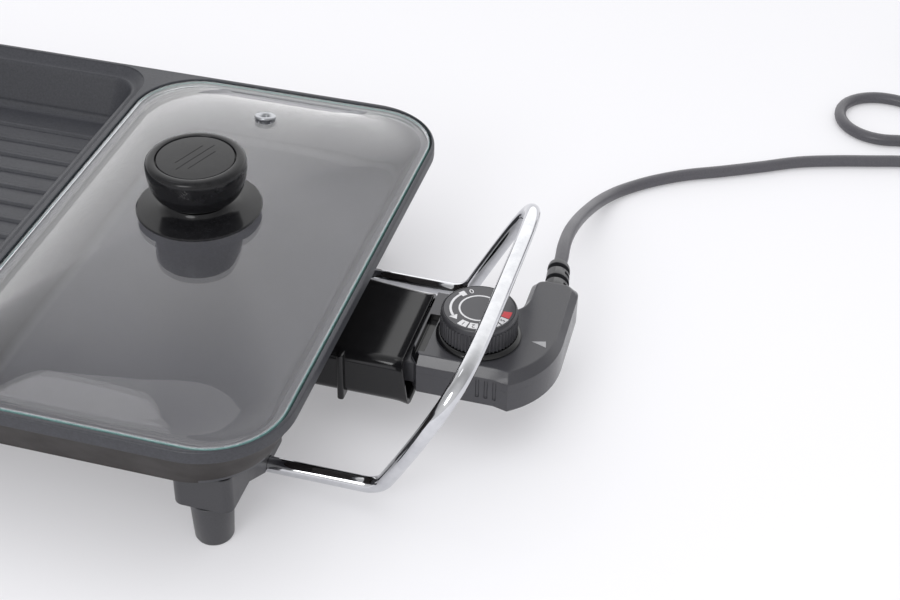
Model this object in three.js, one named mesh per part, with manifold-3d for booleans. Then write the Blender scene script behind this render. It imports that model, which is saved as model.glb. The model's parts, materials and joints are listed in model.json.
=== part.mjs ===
// Electric table grill: a long die-cast tray with a ribbed grill well and a smooth pot well under a
// loose domed glass lid, a tubular element clipped below, and a plug-in thermostat with its cord.
// Millimetres, +Z up, standing on z = 0. The tray runs along X and the thermostat is at its +X end.
import * as THREE from "three";
import { mergeVertices } from "three/addons/utils/BufferGeometryUtils.js";
import Module from "manifold-3d";

const wasm = await Module();
wasm.setup();

// Fits and fineness shared by all pieces
const clearance = 0.3; // between faces that touch
const overrun = 2; // how far a cutter runs past the face that it cuts
const mergeTolerance = 1e-4;
const fineness = 6; // measuring points per step of a tube
const cornerSteps = 6; // straight steps in one rounded corner
const roundSides = 28; // sides of a turned piece
const smallSides = 16; // sides of a pin or a screw

// Tray: outside
const tray = {
  span: 480, // end to end, along X
  width: 300,
  rimHeight: 80, // top of the rim above the table
  depth: 32.5, // from the rim down to the underside
  cornerRadius: 42,
  bandHeight: 6.7, // upright band below the rim
  bandProud: 0.8, // step where the leaning wall starts
  wallLean: 11.7, // how far the wall leans in on its way down
  rimRound: 1.2,
};

// Tray: wells, divider and ribs
const well = {
  lip: 2.8, // flat top of the rim along a well's sides
  endLip: 2.2, // flat top of the rim at the tray's ends
  divider: 3.1, // flat top of the divider
  potLength: 172.7, // along X, from lip to lip
  seatRadius: 36,
  grillRadius: 21,
  grillCornerShare: 0.75, // of each inset, taken off the grill well's corner radius
  grillSeatLean: 4.6, // slope of the grill well's recess
  seatDepth: 4.6, // recess that the lid's edge sits in
  ledge: 7,
  lean: 9.5, // how far the inner wall leans in
  floorRound: 5, // rounding from the wall to the floor
  floorThickness: 3.5,
  dividerWall: 4,
};
const rib = {
  count: 16,
  pitch: 14.7,
  width: 4.2,
  height: 1.5,
  sideLean: 0.9,
  endGap: 2, // from a rib's end to the foot of the wall
};

// Glass lid
const lid = {
  edgeGap: 1.4, // between the glass and the lip round it
  thickness: 3.8,
  flange: 6.5, // flat border
  rise: 17.6, // from the border up to the middle
  power: 2.6, // how fast the dome flattens
  rings: 9,
  knobHole: 9,
  ventHole: 7.2,
  ventFromEnd: 47, // from the back edge of the glass to the vent
  ventFromMiddle: 3, // towards the grill well
  liftTravel: 120,
};
const knob = {
  guardRadius: 31.2,
  guardEdge: 1.8,
  hubRadius: 12,
  neckRadius: 14.4,
  waistRise: 5.4, // guard rim up to the foot of the grip
  neckHeight: 4,
  gripRadius: 24,
  gripHeight: 22.5,
  lipRadius: 19.6,
  capThickness: 1.6,
  insertRadius: 4.6,
  screwRadius: 2.4,
  screwReach: 12, // into the insert
  headRadius: 5,
  headHeight: 3,
  washerRadius: 8,
  washerThickness: 1.4,
};
const vent = {
  flangeRadius: 5.4,
  flangeHeight: 1.1,
  tubeRadius: 2.9,
  bore: 1.7,
  collar: 4.2,
  seatGap: 0.8, // room for the slope of the glass
};

// Foot brackets, feet and wire handles; places are measured from the tray's end and side
const bracket = {
  fromEnd: 26.6, // tray end to the bracket's outer face
  fromSide: 26, // tray side to the bracket's front face
  width: 29, // along X
  span: 66, // along Y
  drop: 3.2, // gap below the tray beside the mounting pad
  footBase: 21, // underside over the foot
  clampBase: 11.5, // underside beside the handle's leg
  wall: 3,
  edge: 5, // rounding of the upright edges
  padLength: 34,
  bossRadius: 5.5,
  bossDrop: 9,
  screwRadius: 2,
  screwHead: 3.8,
  screwHeadHeight: 2.6,
};
const foot = {
  inEnd: 13.4, // bracket's outer face to the foot's axis
  inSide: 6,
  baseRadius: 9.25,
  topRadius: 10.4,
  edgeRound: 1.4,
  pegRadius: 4,
  pegHeight: 7,
  sides: 24,
};
const handle = {
  diameter: 8,
  legFromSide: 70.2, // tray side to a leg
  legHeight: 13.2,
  legInside: 27, // length held in the bracket
  cornerOut: 29, // tray end to the upright's foot
  cornerRadius: 13,
  tilt: 28, // degrees outwards
  height: 83.3, // along the tilted plane
  flare: 12.6, // how far outside the legs the sides head
  flareHeight: 87.7,
  crown: 5.5, // how far inside the legs the top heads
  archSteps: 20,
  bendSteps: 5,
  sides: 8,
};

// Element, its clips and its terminals
const element = {
  diameter: 6.5,
  fromSide: 52, // tray side to the outer runs
  innerHalf: 33, // middle plane to the inner runs
  nearEnd: 66, // tray end to the first bend
  farEnd: 76, // far tray end to the far bends
  innerEnd: 150, // tray end to the inner return bend
  terminalHalf: 13,
  terminalHeight: 36.2,
  coldEnd: 34, // tray end to where the cold ends stop
  coldRun: 12,
  bendRadius: 22,
  bendSteps: 5,
  sides: 8,
};
const clip = { width: 9, thickness: 1.4, foot: 8, nearEnd: 140, farEnd: 150 };
const pin = { diameter: 5.2, tip: 14 }; // tip: how far past the tray end it reaches

// Socket housing under the tray's end
const socket = {
  half: 30.5,
  base: 20.8,
  inner: 26, // tray end back to the rear wall
  reach: 25, // tray end out to the mouth
  wall: 2.7,
  rearWall: 4,
  flangeAt: 8, // tray end back to the flange
  flangeWidth: 2.4,
  flangeProud: 2.4,
  mouthFlare: 1.1,
  mouthDepth: 5,
  earLength: 12,
  earThickness: 3,
  earHalf: 22,
  earHeight: 30,
  postRadius: 4.6,
  screwRadius: 1.9,
};

// Thermostat: places are measured from the tray's end
const control = {
  half: 26,
  base: 28.7,
  top: 50.5,
  split: 41,
  left: 26.3,
  grooveX: 70,
  cornerX: 77.4,
  cornerHalf: 28,
  reach: 96.2,
  sideY: 10,
  armHalf: 49,
  armEnd: 55,
  armLeft: 70.5,
  armRight: 94.6,
  armCorner: 5,
  notchY: 38,
  notchX: 60,
  wall: 2.6,
  bevelIn: 3,
  bevelDown: 4,
  baseBevel: 0.9,
  cornerShare: 0.35,
  travel: 90,
};
const carrier = { left: 3, right: 45, half: 22.6, base: 31.4, top: 44.2 };
const sleeve = { outer: 7.6, left: 4, right: 20 };
const probe = { radius: 3.6, wall: 0.6, depth: 56, height: 37.5, guideRadius: 5.2, guideLength: 40 };
const pushRod = { radius: 1.5, out: 46.1 };
const dial = {
  x: 55.4,
  radius: 19.2,
  base: 53.9,
  top: 67.2,
  wall: 2,
  teeth: 36,
  toothDepth: 0.7,
  plainTop: 3.4, // plain band above the knurl
  faceRadius: 17.6,
  faceThickness: 0.8,
  hubRadius: 5,
  bezelRadius: 20.4,
  bezelInner: 16.5,
  bezelTop: 53.4,
  turn: 235, // degrees
};
const spindle = { radius: 3, base: 38.8, flat: 2.2, collarRadius: 5, collarHeight: 1.6 };
const frame = { thickness: 1.2, width: 15, left: 46, right: 68, foot: 34.4, topArm: 45 };
const blade = { thickness: 0.9, width: 6, left: 46.4, right: 64, height: 37.2 };
const coverScrew = { radius: 1.5, head: 2.6, headHeight: 1.8, reach: 4 };
const coverScrewPlaces = [
  [control.grooveX, -control.half + control.wall + coverScrew.head],
  [control.armRight - control.wall - coverScrew.head - overrun, control.armHalf - coverScrew.head],
];

// Strain relief, cord, coil, tie and plug
const relief = {
  x: 80.4,
  height: 41,
  baseRadius: 6.4,
  endRadius: 5.8,
  tail: 80, // Y where it ends
  grooves: 4,
  grooveDepth: 1.1,
  neckRadius: 3.6,
  flangeRadius: 4.4,
  flangeWidth: 2,
  flangeGap: 1.6, // behind the arm's end wall
};
const cord = { diameter: 7.4, sides: 8, steps: 70 };
const coil = {
  innerRadius: 36,
  turnsPerLayer: 1.75,
  turnGap: 0.6,
  climbTurns: 0.5,
  stepsPerTurn: 24,
  sides: 6,
  tail: 16.4, // straight end that meets the plug
  tieWidth: 12,
  tieSlack: 0.5,
};
const plug = {
  noseLength: 16,
  noseRadius: 6,
  bodyLength: 30,
  halfWidth: 18,
  faceDepth: 5,
  pinRadius: 2.4,
  pinLength: 19,
  pinHalf: 9.5,
};

// The cord's route on the table, chosen by hand: X from the tray's end, Y, Z
const cordRoute = [
  [79.6, 80.3, 41],
  [79, 88.5, 41],
  [77.4, 100.6, 40.2],
  [76.5, 117.5, 36.6],
  [76.3, 133.7, 31.5],
  [76.7, 153, 24.5],
  [77.8, 172.2, 17.2],
  [80.3, 191.5, 10.6],
  [84.3, 207.1, 6],
  [90.3, 218.3, 4.2],
  [105, 233.3, 3.8],
  [123.9, 246.8, 3.8],
  [145.9, 258.2, 3.8],
  [168, 270.3, 3.8],
  [191.5, 283.6, 3.8],
  [214.4, 292.1, 3.8],
  [235.1, 298.3, 3.8],
  [251.5, 303.1, 3.8],
  [266, 305.2, 3.8],
  [280, 304, 3.8],
  [294, 299, 3.8],
  [308, 292.6, 3.8],
  [323, 290, 3.8],
  [337.5, 293.6, 3.8],
  [348.5, 304, 3.8],
  [353, 318.5, 3.8],
  [349.5, 333.5, 3.8],
  [339.6, 344, 3.8],
  [324, 349, 3.8],
  [309, 346.4, 3.8],
  [295, 340, 3.8],
  [281, 333.2, 3.8],
  [266, 329.8, 3.8],
  [251, 328.3, 3.8],
  [240, 326.2, 3.8],
  [229, 327.6, 3.8],
  [219.3, 333.4, 3.8],
  [212.8, 343, 3.8],
  [210.8, 354.2, 3.8],
  [213.4, 365.2, 3.8],
  [221, 374.2, 3.8],
  [232, 379.4, 3.8],
  [243.5, 380, 3.8],
  [255, 377.4, 3.8],
  [268, 373, 3.8],
  [282, 369.6, 3.9],
  [298, 367.8, 4.2],
  [324, 367.4, 4.8],
  [332, 367.4, 4.8],
];

// Values worked out from the sizes above
const trayEnd = tray.span / 2;
const underside = tray.rimHeight - tray.depth;
const bandBottom = tray.rimHeight - tray.bandHeight;
const floorTop = underside + well.floorThickness;
const ledgeHeight = tray.rimHeight - well.seatDepth;
const potRight = trayEnd - well.endLip;
const potLeft = potRight - well.potLength;
const grillRight = potLeft - well.divider;
const grillLeft = -trayEnd + well.endLip;
const wellHalf = tray.width / 2 - well.lip;
const potX = (potLeft + potRight) / 2;
const grillX = (grillLeft + grillRight) / 2;
const grillLength = grillRight - grillLeft;
const glassBase = ledgeHeight + clearance;
const glassTop = glassBase + lid.thickness;
const glassHalfX = well.potLength / 2 - lid.edgeGap;
const glassHalfY = wellHalf - lid.edgeGap;
const glassRadius = well.seatRadius - lid.edgeGap;
const domeTop = glassTop + lid.rise;
const handleRadius = handle.diameter / 2;
const legHalf = tray.width / 2 - handle.legFromSide;
const elementHalf = tray.width / 2 - element.fromSide;
const cordRadius = cord.diameter / 2;
const turnPitch = cord.diameter + coil.turnGap;

// Colours from the photograph
const paint = {
  tray: [0x4f4d50, 0.62, 0.35],
  castUnder: [0x8d8f92, 0.5, 0.8],
  steel: [0xb9bcc0, 0.32, 0.95],
  chrome: [0xdfe2e6, 0.08, 1],
  glossBlack: [0x1b1b1e, 0.22, 0],
  satinBlack: [0x3d3c40, 0.45, 0],
  rubber: [0x4a494d, 0.6, 0],
  brass: [0xb89b56, 0.35, 0.95],
  ceramic: [0xe6e1d6, 0.6, 0],
  glass: [0xa9b4b4, 0.05, 0],
  white: [0xd9d9dc, 0.5, 0],
  tie: [0x2b2b2e, 0.7, 0],
};

function material(name) {
  const [color, roughness, metalness] = paint[name];
  const made = new THREE.MeshStandardMaterial({ color, roughness, metalness });
  if (name === "glass") {
    made.transparent = true;
    made.opacity = 0.5;
  }
  return made;
}

function piece(name, geometry, finish, place = [0, 0, 0]) {
  const mesh = new THREE.Mesh(geometry, material(finish));
  mesh.name = name;
  mesh.position.set(...place);
  return mesh;
}

// Solids: joining and cutting
function toSolid(geometry) {
  const bare = geometry.clone();
  bare.deleteAttribute("normal");
  bare.deleteAttribute("uv");
  const merged = mergeVertices(bare, mergeTolerance);
  return new wasm.Manifold(
    new wasm.Mesh({
      numProp: 3,
      vertProperties: new Float32Array(merged.attributes.position.array),
      triVerts: new Uint32Array(merged.index.array),
    }),
  );
}

function toGeometry(solid) {
  const mesh = solid.getMesh();
  const geometry = new THREE.BufferGeometry();
  geometry.setAttribute("position", new THREE.BufferAttribute(mesh.vertProperties, 3));
  geometry.setIndex(new THREE.BufferAttribute(mesh.triVerts, 1));
  geometry.computeVertexNormals();
  return geometry;
}

function combine(start, joined = [], cut = []) {
  let solid = toSolid(start);
  for (const shape of joined) solid = solid.add(toSolid(shape));
  for (const shape of cut) solid = solid.subtract(toSolid(shape));
  return toGeometry(solid);
}

// Shapes
function box(x0, x1, y0, y1, z0, z1) {
  const geometry = new THREE.BoxGeometry(x1 - x0, y1 - y0, z1 - z0);
  return geometry.translate((x0 + x1) / 2, (y0 + y1) / 2, (z0 + z1) / 2);
}

function rod(radius, z0, z1, x = 0, y = 0, sides = smallSides) {
  const geometry = new THREE.CylinderGeometry(radius, radius, z1 - z0, sides);
  geometry.rotateX(Math.PI / 2);
  return geometry.translate(x, y, (z0 + z1) / 2);
}

function rodX(radius, x0, x1, y, z, sides = smallSides) {
  const geometry = new THREE.CylinderGeometry(radius, radius, x1 - x0, sides);
  geometry.rotateZ(Math.PI / 2);
  return geometry.translate((x0 + x1) / 2, y, z);
}

function turned(profile, sides = roundSides) {
  const points = profile.map(([radius, z]) => new THREE.Vector2(radius, z));
  const geometry = new THREE.LatheGeometry(points, sides);
  return geometry.rotateX(Math.PI / 2);
}

// A ring of points round a rectangle with rounded corners, anticlockwise seen from above
function ring(halfX, halfY, radius, z, x = 0, y = 0, steps = cornerSteps) {
  const points = [];
  const corners = [
    [1, 1],
    [-1, 1],
    [-1, -1],
    [1, -1],
  ];
  corners.forEach(([sideX, sideY], corner) => {
    for (let step = 0; step <= steps; step += 1) {
      const angle = (corner + step / steps) * Math.PI / 2;
      points.push(
        new THREE.Vector3(
          x + sideX * (halfX - radius) + radius * Math.cos(angle),
          y + sideY * (halfY - radius) + radius * Math.sin(angle),
          z,
        ),
      );
    }
  });
  return points;
}

// A closed skin through rings of equal count; the first and the last ring are capped
function loft(rings) {
  const count = rings[0].length;
  const points = rings.flat();
  const faces = [];
  for (let level = 0; level + 1 < rings.length; level += 1) {
    for (let i = 0; i < count; i += 1) {
      const a = level * count + i;
      const b = level * count + ((i + 1) % count);
      faces.push(a, b, b + count, a, b + count, a + count);
    }
  }
  const centre = (corners) =>
    corners.reduce((sum, p) => sum.add(p), new THREE.Vector3()).divideScalar(corners.length);
  const first = points.length;
  const last = first + 1;
  points.push(centre(rings[0]), centre(rings[rings.length - 1]));
  const top = (rings.length - 1) * count;
  for (let i = 0; i < count; i += 1) {
    const next = (i + 1) % count;
    faces.push(first, next, i, last, top + i, top + next);
  }
  const geometry = new THREE.BufferGeometry().setFromPoints(points);
  geometry.setIndex(faces);
  geometry.computeVertexNormals();
  return geometry;
}

// A route that an extrusion follows station by station
class Route extends THREE.Curve {
  constructor(stations) {
    super();
    this.stations = stations;
  }
  getPoint(share, target = new THREE.Vector3()) {
    const last = this.stations.length - 1;
    const at = Math.min(Math.max(share, 0), 1) * last;
    const index = Math.min(Math.floor(at), last - 1);
    return target.lerpVectors(this.stations[index], this.stations[index + 1], at - index);
  }
  getUtoTmapping(share) {
    return share;
  }
}

function tube(stations, radius, sides) {
  const section = new THREE.Shape();
  for (let i = 0; i < sides; i += 1) {
    const angle = ((i + 0.5) / sides) * Math.PI * 2;
    const x = radius * Math.cos(angle);
    const y = radius * Math.sin(angle);
    if (i === 0) section.moveTo(x, y);
    else section.lineTo(x, y);
  }
  section.closePath();
  return new THREE.ExtrudeGeometry(section, {
    steps: stations.length - 1,
    extrudePath: new Route(stations),
  });
}

// Stations along straight runs whose inner corners are rounded
function roundedRun(corners, radius, steps) {
  const stations = [corners[0].clone()];
  for (let i = 1; i + 1 < corners.length; i += 1) {
    const before = corners[i - 1].clone().sub(corners[i]).normalize();
    const after = corners[i + 1].clone().sub(corners[i]).normalize();
    const opening = before.angleTo(after);
    const back = radius / Math.tan(opening / 2);
    const middle = before.clone().add(after).normalize();
    const hub = corners[i].clone().addScaledVector(middle, radius / Math.sin(opening / 2));
    const from = corners[i].clone().addScaledVector(before, back).sub(hub);
    const to = corners[i].clone().addScaledVector(after, back).sub(hub);
    const axis = from.clone().cross(to).normalize();
    const sweep = from.angleTo(to);
    for (let step = 0; step <= steps; step += 1) {
      stations.push(from.clone().applyAxisAngle(axis, (sweep * step) / steps).add(hub));
    }
  }
  stations.push(corners[corners.length - 1].clone());
  return stations;
}

function extruded(shape, depth, options = {}) {
  return new THREE.ExtrudeGeometry(shape, { depth, bevelEnabled: false, ...options });
}

// The tray casting
function cookingPlate() {
  const halfX = trayEnd;
  const halfY = tray.width / 2;
  const outer = (inset, z) =>
    ring(halfX - inset, halfY - inset, tray.cornerRadius - inset / 2, z);
  const body = loft([
    outer(tray.bandProud + tray.wallLean, underside),
    outer(tray.bandProud, bandBottom),
    outer(0, bandBottom),
    outer(0, tray.rimHeight - tray.rimRound),
    outer(tray.rimRound, tray.rimHeight),
  ]);
  const cuts = [];
  for (const [x, length, radius, share, seatLean] of [
    [potX, well.potLength, well.seatRadius, 1, 0],
    [grillX, grillLength, well.grillRadius, well.grillCornerShare, well.grillSeatLean],
  ]) {
    const inner = (inset, z) =>
      ring(length / 2 - inset, wellHalf - inset, radius - inset * share, z, x);
    cuts.push(
      loft([
        inner(seatLean, ledgeHeight),
        inner(0, tray.rimHeight),
        inner(0, tray.rimHeight + overrun),
      ]),
    );
    cuts.push(
      loft([
        inner(well.ledge + well.lean + well.floorRound, floorTop),
        inner(well.ledge + well.lean + well.floorRound / 4, floorTop + well.floorRound / 4),
        inner(well.ledge + well.lean, floorTop + well.floorRound),
        inner(well.ledge, ledgeHeight + overrun),
      ]),
    );
  }
  const dividerX = (potLeft + grillRight) / 2;
  const hollowTop = ledgeHeight - well.dividerWall;
  const hollowHalf = well.divider / 2 + well.ledge - well.dividerWall / 2;
  const hollowEnd = wellHalf - well.ledge - well.lean - well.floorRound * 2;
  cuts.push(
    loft([
      ring(hollowHalf + well.lean, hollowEnd, well.dividerWall, underside - overrun, dividerX),
      ring(hollowHalf / 2, hollowEnd - well.lean, well.dividerWall / 2, hollowTop, dividerX),
    ]),
  );
  const joined = [];
  const ribHalf =
    grillLength / 2 - well.ledge - well.lean - well.floorRound - rib.endGap;
  for (let i = 0; i < rib.count; i += 1) {
    const y = (i - (rib.count - 1) / 2) * rib.pitch;
    const ribRing = (inset, z) =>
      ring(ribHalf - inset, rib.width / 2 - inset, rib.width / 2 - inset, z, grillX, y, 2);
    joined.push(
      loft([
        ribRing(0, floorTop - well.floorThickness / 2),
        ribRing(0, floorTop + rib.height / 2),
        ribRing(rib.sideLean, floorTop + rib.height),
      ]),
    );
  }
  for (const [sideX, sideY] of quarters) {
    const [x, y] = bossPlace(sideX, sideY);
    joined.push(rod(bracket.bossRadius, underside - bracket.bossDrop, underside + overrun, x, y));
  }
  for (const sideY of [1, -1]) {
    const x = trayEnd - socket.inner - socket.earLength / 2;
    const base = socket.earHeight + clearance;
    joined.push(rod(socket.postRadius, base, underside + overrun, x, sideY * socket.earHalf));
  }
  let solid = toSolid(body);
  for (const shape of cuts) solid = solid.subtract(toSolid(shape));
  for (const shape of joined) solid = solid.add(toSolid(shape));
  const bores = [];
  for (const [sideX, sideY] of quarters) {
    const [x, y] = bossPlace(sideX, sideY);
    const base = underside - bracket.bossDrop - overrun;
    bores.push(rod(bracket.screwRadius + clearance, base, underside - clearance, x, y));
  }
  for (const sideY of [1, -1]) {
    const x = trayEnd - socket.inner - socket.earLength / 2;
    const base = socket.earHeight - overrun;
    bores.push(
      rod(socket.screwRadius + clearance, base, underside - clearance, x, sideY * socket.earHalf),
    );
  }
  for (const shape of bores) solid = solid.subtract(toSolid(shape));
  return toGeometry(solid);
}

const quarters = [
  [1, -1],
  [1, 1],
  [-1, -1],
  [-1, 1],
];

// A corner's foot axis, and the boss that its bracket screws to
function footPlace(sideX, sideY) {
  const x = trayEnd - bracket.fromEnd - foot.inEnd;
  const y = tray.width / 2 - bracket.fromSide - foot.inSide;
  return [sideX * x, sideY * y];
}

function bossPlace(sideX, sideY) {
  const [x, y] = footPlace(sideX, sideY);
  const along = foot.topRadius + bracket.bossRadius + bracket.wall;
  return [x, y - sideY * along];
}

// One bracket, built for the +X, -Y corner about its foot's axis
function bracketShape() {
  const right = foot.inEnd;
  const left = right - bracket.width;
  const front = -foot.inSide;
  const back = front + bracket.span;
  const top = underside - bracket.drop;
  const legY = handle.legFromSide - bracket.fromSide - foot.inSide;
  const side = new THREE.Shape();
  side.moveTo(front, top);
  side.lineTo(front, bracket.footBase);
  side.lineTo(foot.topRadius + bracket.wall, bracket.footBase);
  side.lineTo(legY - handleRadius, bracket.clampBase);
  side.lineTo(back, bracket.clampBase);
  side.lineTo(back, top);
  side.closePath();
  const body = extruded(side, bracket.width);
  body.rotateX(Math.PI / 2);
  body.rotateZ(Math.PI / 2);
  body.translate(left, 0, 0);
  const plan = loft([
    ring(bracket.width / 2, bracket.span / 2, bracket.edge, 0, (left + right) / 2, (front + back) / 2, 3),
    ring(bracket.width / 2, bracket.span / 2, bracket.edge, underside, (left + right) / 2, (front + back) / 2, 3),
  ]);
  const bossY = foot.topRadius + bracket.bossRadius + bracket.wall;
  const padBack = bossY + bracket.bossRadius + bracket.wall;
  const padFront = padBack - bracket.padLength;
  const pad = box(
    left + bracket.edge,
    right - bracket.edge,
    padFront + bracket.edge,
    padBack + bracket.edge,
    top - overrun,
    underside - clearance,
  );
  const pocket = box(
    left + bracket.wall,
    right - bracket.wall,
    front + bracket.wall,
    bossY - bracket.bossRadius - bracket.wall,
    bracket.footBase + bracket.wall,
    underside + overrun,
  );
  const bossWell = rod(
    bracket.bossRadius + clearance,
    underside - bracket.bossDrop - clearance,
    underside + overrun,
    0,
    bossY,
  );
  const screwHole = rod(bracket.screwRadius + clearance, 0, underside, 0, bossY);
  const screwSink = rod(
    bracket.screwHead + clearance,
    0,
    bracket.footBase + bracket.screwHeadHeight + clearance * 2,
    0,
    bossY,
  );
  const legHole = rodX(
    handleRadius + clearance,
    right - handle.legInside - clearance,
    right + overrun,
    legY,
    handle.legHeight,
  );
  const pegHole = rod(
    foot.pegRadius + clearance,
    bracket.footBase - overrun,
    bracket.footBase + foot.pegHeight + clearance,
    0,
    0,
    foot.sides,
  );
  let solid = toSolid(body).intersect(toSolid(plan));
  solid = solid.add(toSolid(pad));
  for (const shape of [pocket, bossWell, screwHole, screwSink, legHole, pegHole]) {
    solid = solid.subtract(toSolid(shape));
  }
  return toGeometry(solid);
}

function footShape() {
  const top = bracket.footBase - clearance;
  return turned(
    [
      [0, 0],
      [foot.baseRadius - foot.edgeRound, 0],
      [foot.baseRadius, foot.edgeRound],
      [foot.topRadius, top],
      [foot.pegRadius, top],
      [foot.pegRadius, top + foot.pegHeight],
      [0, top + foot.pegHeight],
    ],
    foot.sides,
  );
}

function bracketScrewShape() {
  const headBase = bracket.footBase + clearance;
  const headTop = headBase + bracket.screwHeadHeight;
  return turned(
    [
      [0, headBase],
      [bracket.screwHead, headBase],
      [bracket.screwHead, headTop],
      [bracket.screwRadius, headTop],
      [bracket.screwRadius, underside - clearance * 2],
      [0, underside - clearance * 2],
    ],
    smallSides,
  );
}

// Wire handle for the +X end
function handleShape() {
  const tilt = THREE.MathUtils.degToRad(handle.tilt);
  const inPlane = (along, y) =>
    new THREE.Vector3(
      trayEnd + handle.cornerOut + Math.sin(tilt) * along,
      y,
      handle.legHeight + Math.cos(tilt) * along,
    );
  const arch = new THREE.CubicBezierCurve3(
    inPlane(0, legHalf),
    inPlane(handle.flareHeight, legHalf + handle.flare),
    inPlane(handle.height, legHalf - handle.crown),
    inPlane(handle.height, 0),
  );
  const legEnd = new THREE.Vector3(
    trayEnd - bracket.fromEnd - handle.legInside,
    legHalf,
    handle.legHeight,
  );
  const start = inPlane(0, legHalf);
  const rise = arch.getPointAt(2 / handle.archSteps);
  const bend = roundedRun([legEnd, start, rise], handle.cornerRadius, handle.bendSteps);
  bend.pop();
  const side = [];
  for (let step = 3; step <= handle.archSteps; step += 1) {
    side.push(arch.getPointAt(step / handle.archSteps));
  }
  const nearHalf = [...bend, ...side];
  const mirrored = nearHalf
    .slice(0, -1)
    .reverse()
    .map((p) => new THREE.Vector3(p.x, -p.y, p.z));
  return tube([...nearHalf, ...mirrored], handleRadius, handle.sides);
}

// Tubular element below the floor, from one cold end to the other
function elementRoute() {
  const z = underside - clearance - element.diameter / 2;
  const at = (fromEnd, y, height = z) => new THREE.Vector3(trayEnd - fromEnd, y, height);
  const far = tray.span - element.farEnd;
  const oneSide = [
    at(element.coldEnd, element.terminalHalf, element.terminalHeight),
    at(element.coldEnd + element.coldRun, element.terminalHalf, element.terminalHeight),
    at(element.nearEnd + element.bendRadius, elementHalf / 2),
    at(element.nearEnd + element.bendRadius * 2, elementHalf),
    at(far, elementHalf),
    at(far, element.innerHalf),
    at(element.innerEnd, element.innerHalf),
  ];
  const mirrored = oneSide.map((p) => new THREE.Vector3(p.x, -p.y, p.z)).reverse();
  return [...oneSide, ...mirrored];
}

function elementShape() {
  const run = elementRoute();
  const first = roundedRun(run.slice(0, 4), element.coldRun / 2, 3);
  const rest = roundedRun(run.slice(3, -3), element.bendRadius, element.bendSteps);
  const last = roundedRun(run.slice(-4), element.coldRun / 2, 3);
  const stations = [...first.slice(0, -1), ...rest, ...last.slice(1)];
  return tube(stations, element.diameter / 2, element.sides);
}

// A strap that saddles two neighbouring runs of the element
function clipShape() {
  const top = underside - clearance;
  const low = top - element.diameter - clearance;
  const inner = element.diameter / 2 + clearance;
  const outer = inner + clip.thickness;
  const strap = new THREE.Shape();
  strap.moveTo(-outer - clip.foot, top);
  strap.lineTo(-outer - clip.foot, top - clip.thickness);
  strap.lineTo(-outer, top - clip.thickness);
  strap.lineTo(-outer, low - clip.thickness);
  strap.lineTo(outer, low - clip.thickness);
  strap.lineTo(outer, top - clip.thickness);
  strap.lineTo(outer + clip.foot, top - clip.thickness);
  strap.lineTo(outer + clip.foot, top);
  strap.lineTo(inner, top);
  strap.lineTo(inner, low);
  strap.lineTo(-inner, low);
  strap.lineTo(-inner, top);
  strap.closePath();
  const geometry = extruded(strap, clip.width);
  geometry.rotateX(Math.PI / 2);
  geometry.rotateZ(Math.PI / 2);
  return geometry.translate(-clip.width / 2, 0, 0);
}

function socketShape() {
  const mouth = trayEnd + socket.reach;
  const rear = trayEnd - socket.inner;
  const top = underside - clearance;
  const inY = socket.half - socket.wall;
  const inLow = socket.base + socket.wall;
  const inTop = top - socket.wall;
  const flangeRight = trayEnd - socket.flangeAt + socket.flangeWidth;
  const flangeHalf = socket.half + socket.flangeProud;
  const shell = box(rear, mouth, -socket.half, socket.half, socket.base, top);
  const flange = box(
    flangeRight - socket.flangeWidth,
    flangeRight,
    -flangeHalf,
    flangeHalf,
    socket.base - socket.flangeProud,
    top,
  );
  const joined = [flange];
  const earHalf = socket.earHalf + socket.postRadius + socket.wall / 2;
  const ear = box(
    rear - socket.earLength,
    rear + overrun,
    -earHalf,
    earHalf,
    socket.earHeight - socket.earThickness,
    socket.earHeight,
  );
  joined.push(ear);
  const sectionAt = (x, grow) =>
    ring(
      (inTop - inLow) / 2 + grow,
      inY + grow,
      socket.wall,
      x,
      -(inTop + inLow) / 2,
      0,
      2,
    );
  const hollow = loft([
    sectionAt(rear + socket.rearWall, 0),
    sectionAt(mouth - socket.mouthDepth, 0),
    sectionAt(mouth + clearance, socket.mouthFlare),
  ]);
  hollow.rotateY(Math.PI / 2);
  const cuts = [hollow];
  for (const side of [1, -1]) {
    cuts.push(
      rodX(
        pin.diameter / 2 + clearance,
        rear - overrun,
        rear + socket.rearWall + overrun,
        side * element.terminalHalf,
        element.terminalHeight,
      ),
    );
    const earX = rear - socket.earLength / 2;
    cuts.push(
      rod(
        socket.screwRadius + clearance,
        socket.earHeight - socket.earThickness - overrun,
        socket.earHeight + overrun,
        earX,
        side * socket.earHalf,
      ),
    );
  }
  cuts.push(
    rodX(probe.guideRadius + clearance, rear - overrun, rear + socket.rearWall + overrun, 0, probe.height),
  );
  return combine(shell, joined, cuts);
}

function socketScrewShape() {
  const headTop = socket.earHeight - socket.earThickness - clearance;
  const top = underside - clearance * 2;
  return turned(
    [
      [0, headTop - socket.screwRadius],
      [socket.screwRadius * 2, headTop - socket.screwRadius],
      [socket.screwRadius * 2, headTop],
      [socket.screwRadius, headTop],
      [socket.screwRadius, top],
      [0, top],
    ],
    smallSides,
  );
}

// The glass: its height above the border, and its plan, at a share of the way to the middle
function domeAt(share) {
  return lid.rise * (1 - Math.pow(1 - share, lid.power));
}

function domeRing(share, lift, steps = cornerSteps) {
  const innerX = glassHalfX - lid.flange;
  const innerY = glassHalfY - lid.flange;
  const x = innerX * (1 - share);
  const y = innerY * (1 - share) + (innerY - innerX) * share * (1 - share) * (1 - share);
  const cornerRadius = (glassRadius - lid.flange) * (1 - share);
  const radius = cornerRadius + (x - cornerRadius) * Math.sqrt(share);
  return ring(x, y, radius, glassTop + domeAt(share) + lift, potX, 0, steps);
}

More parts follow.
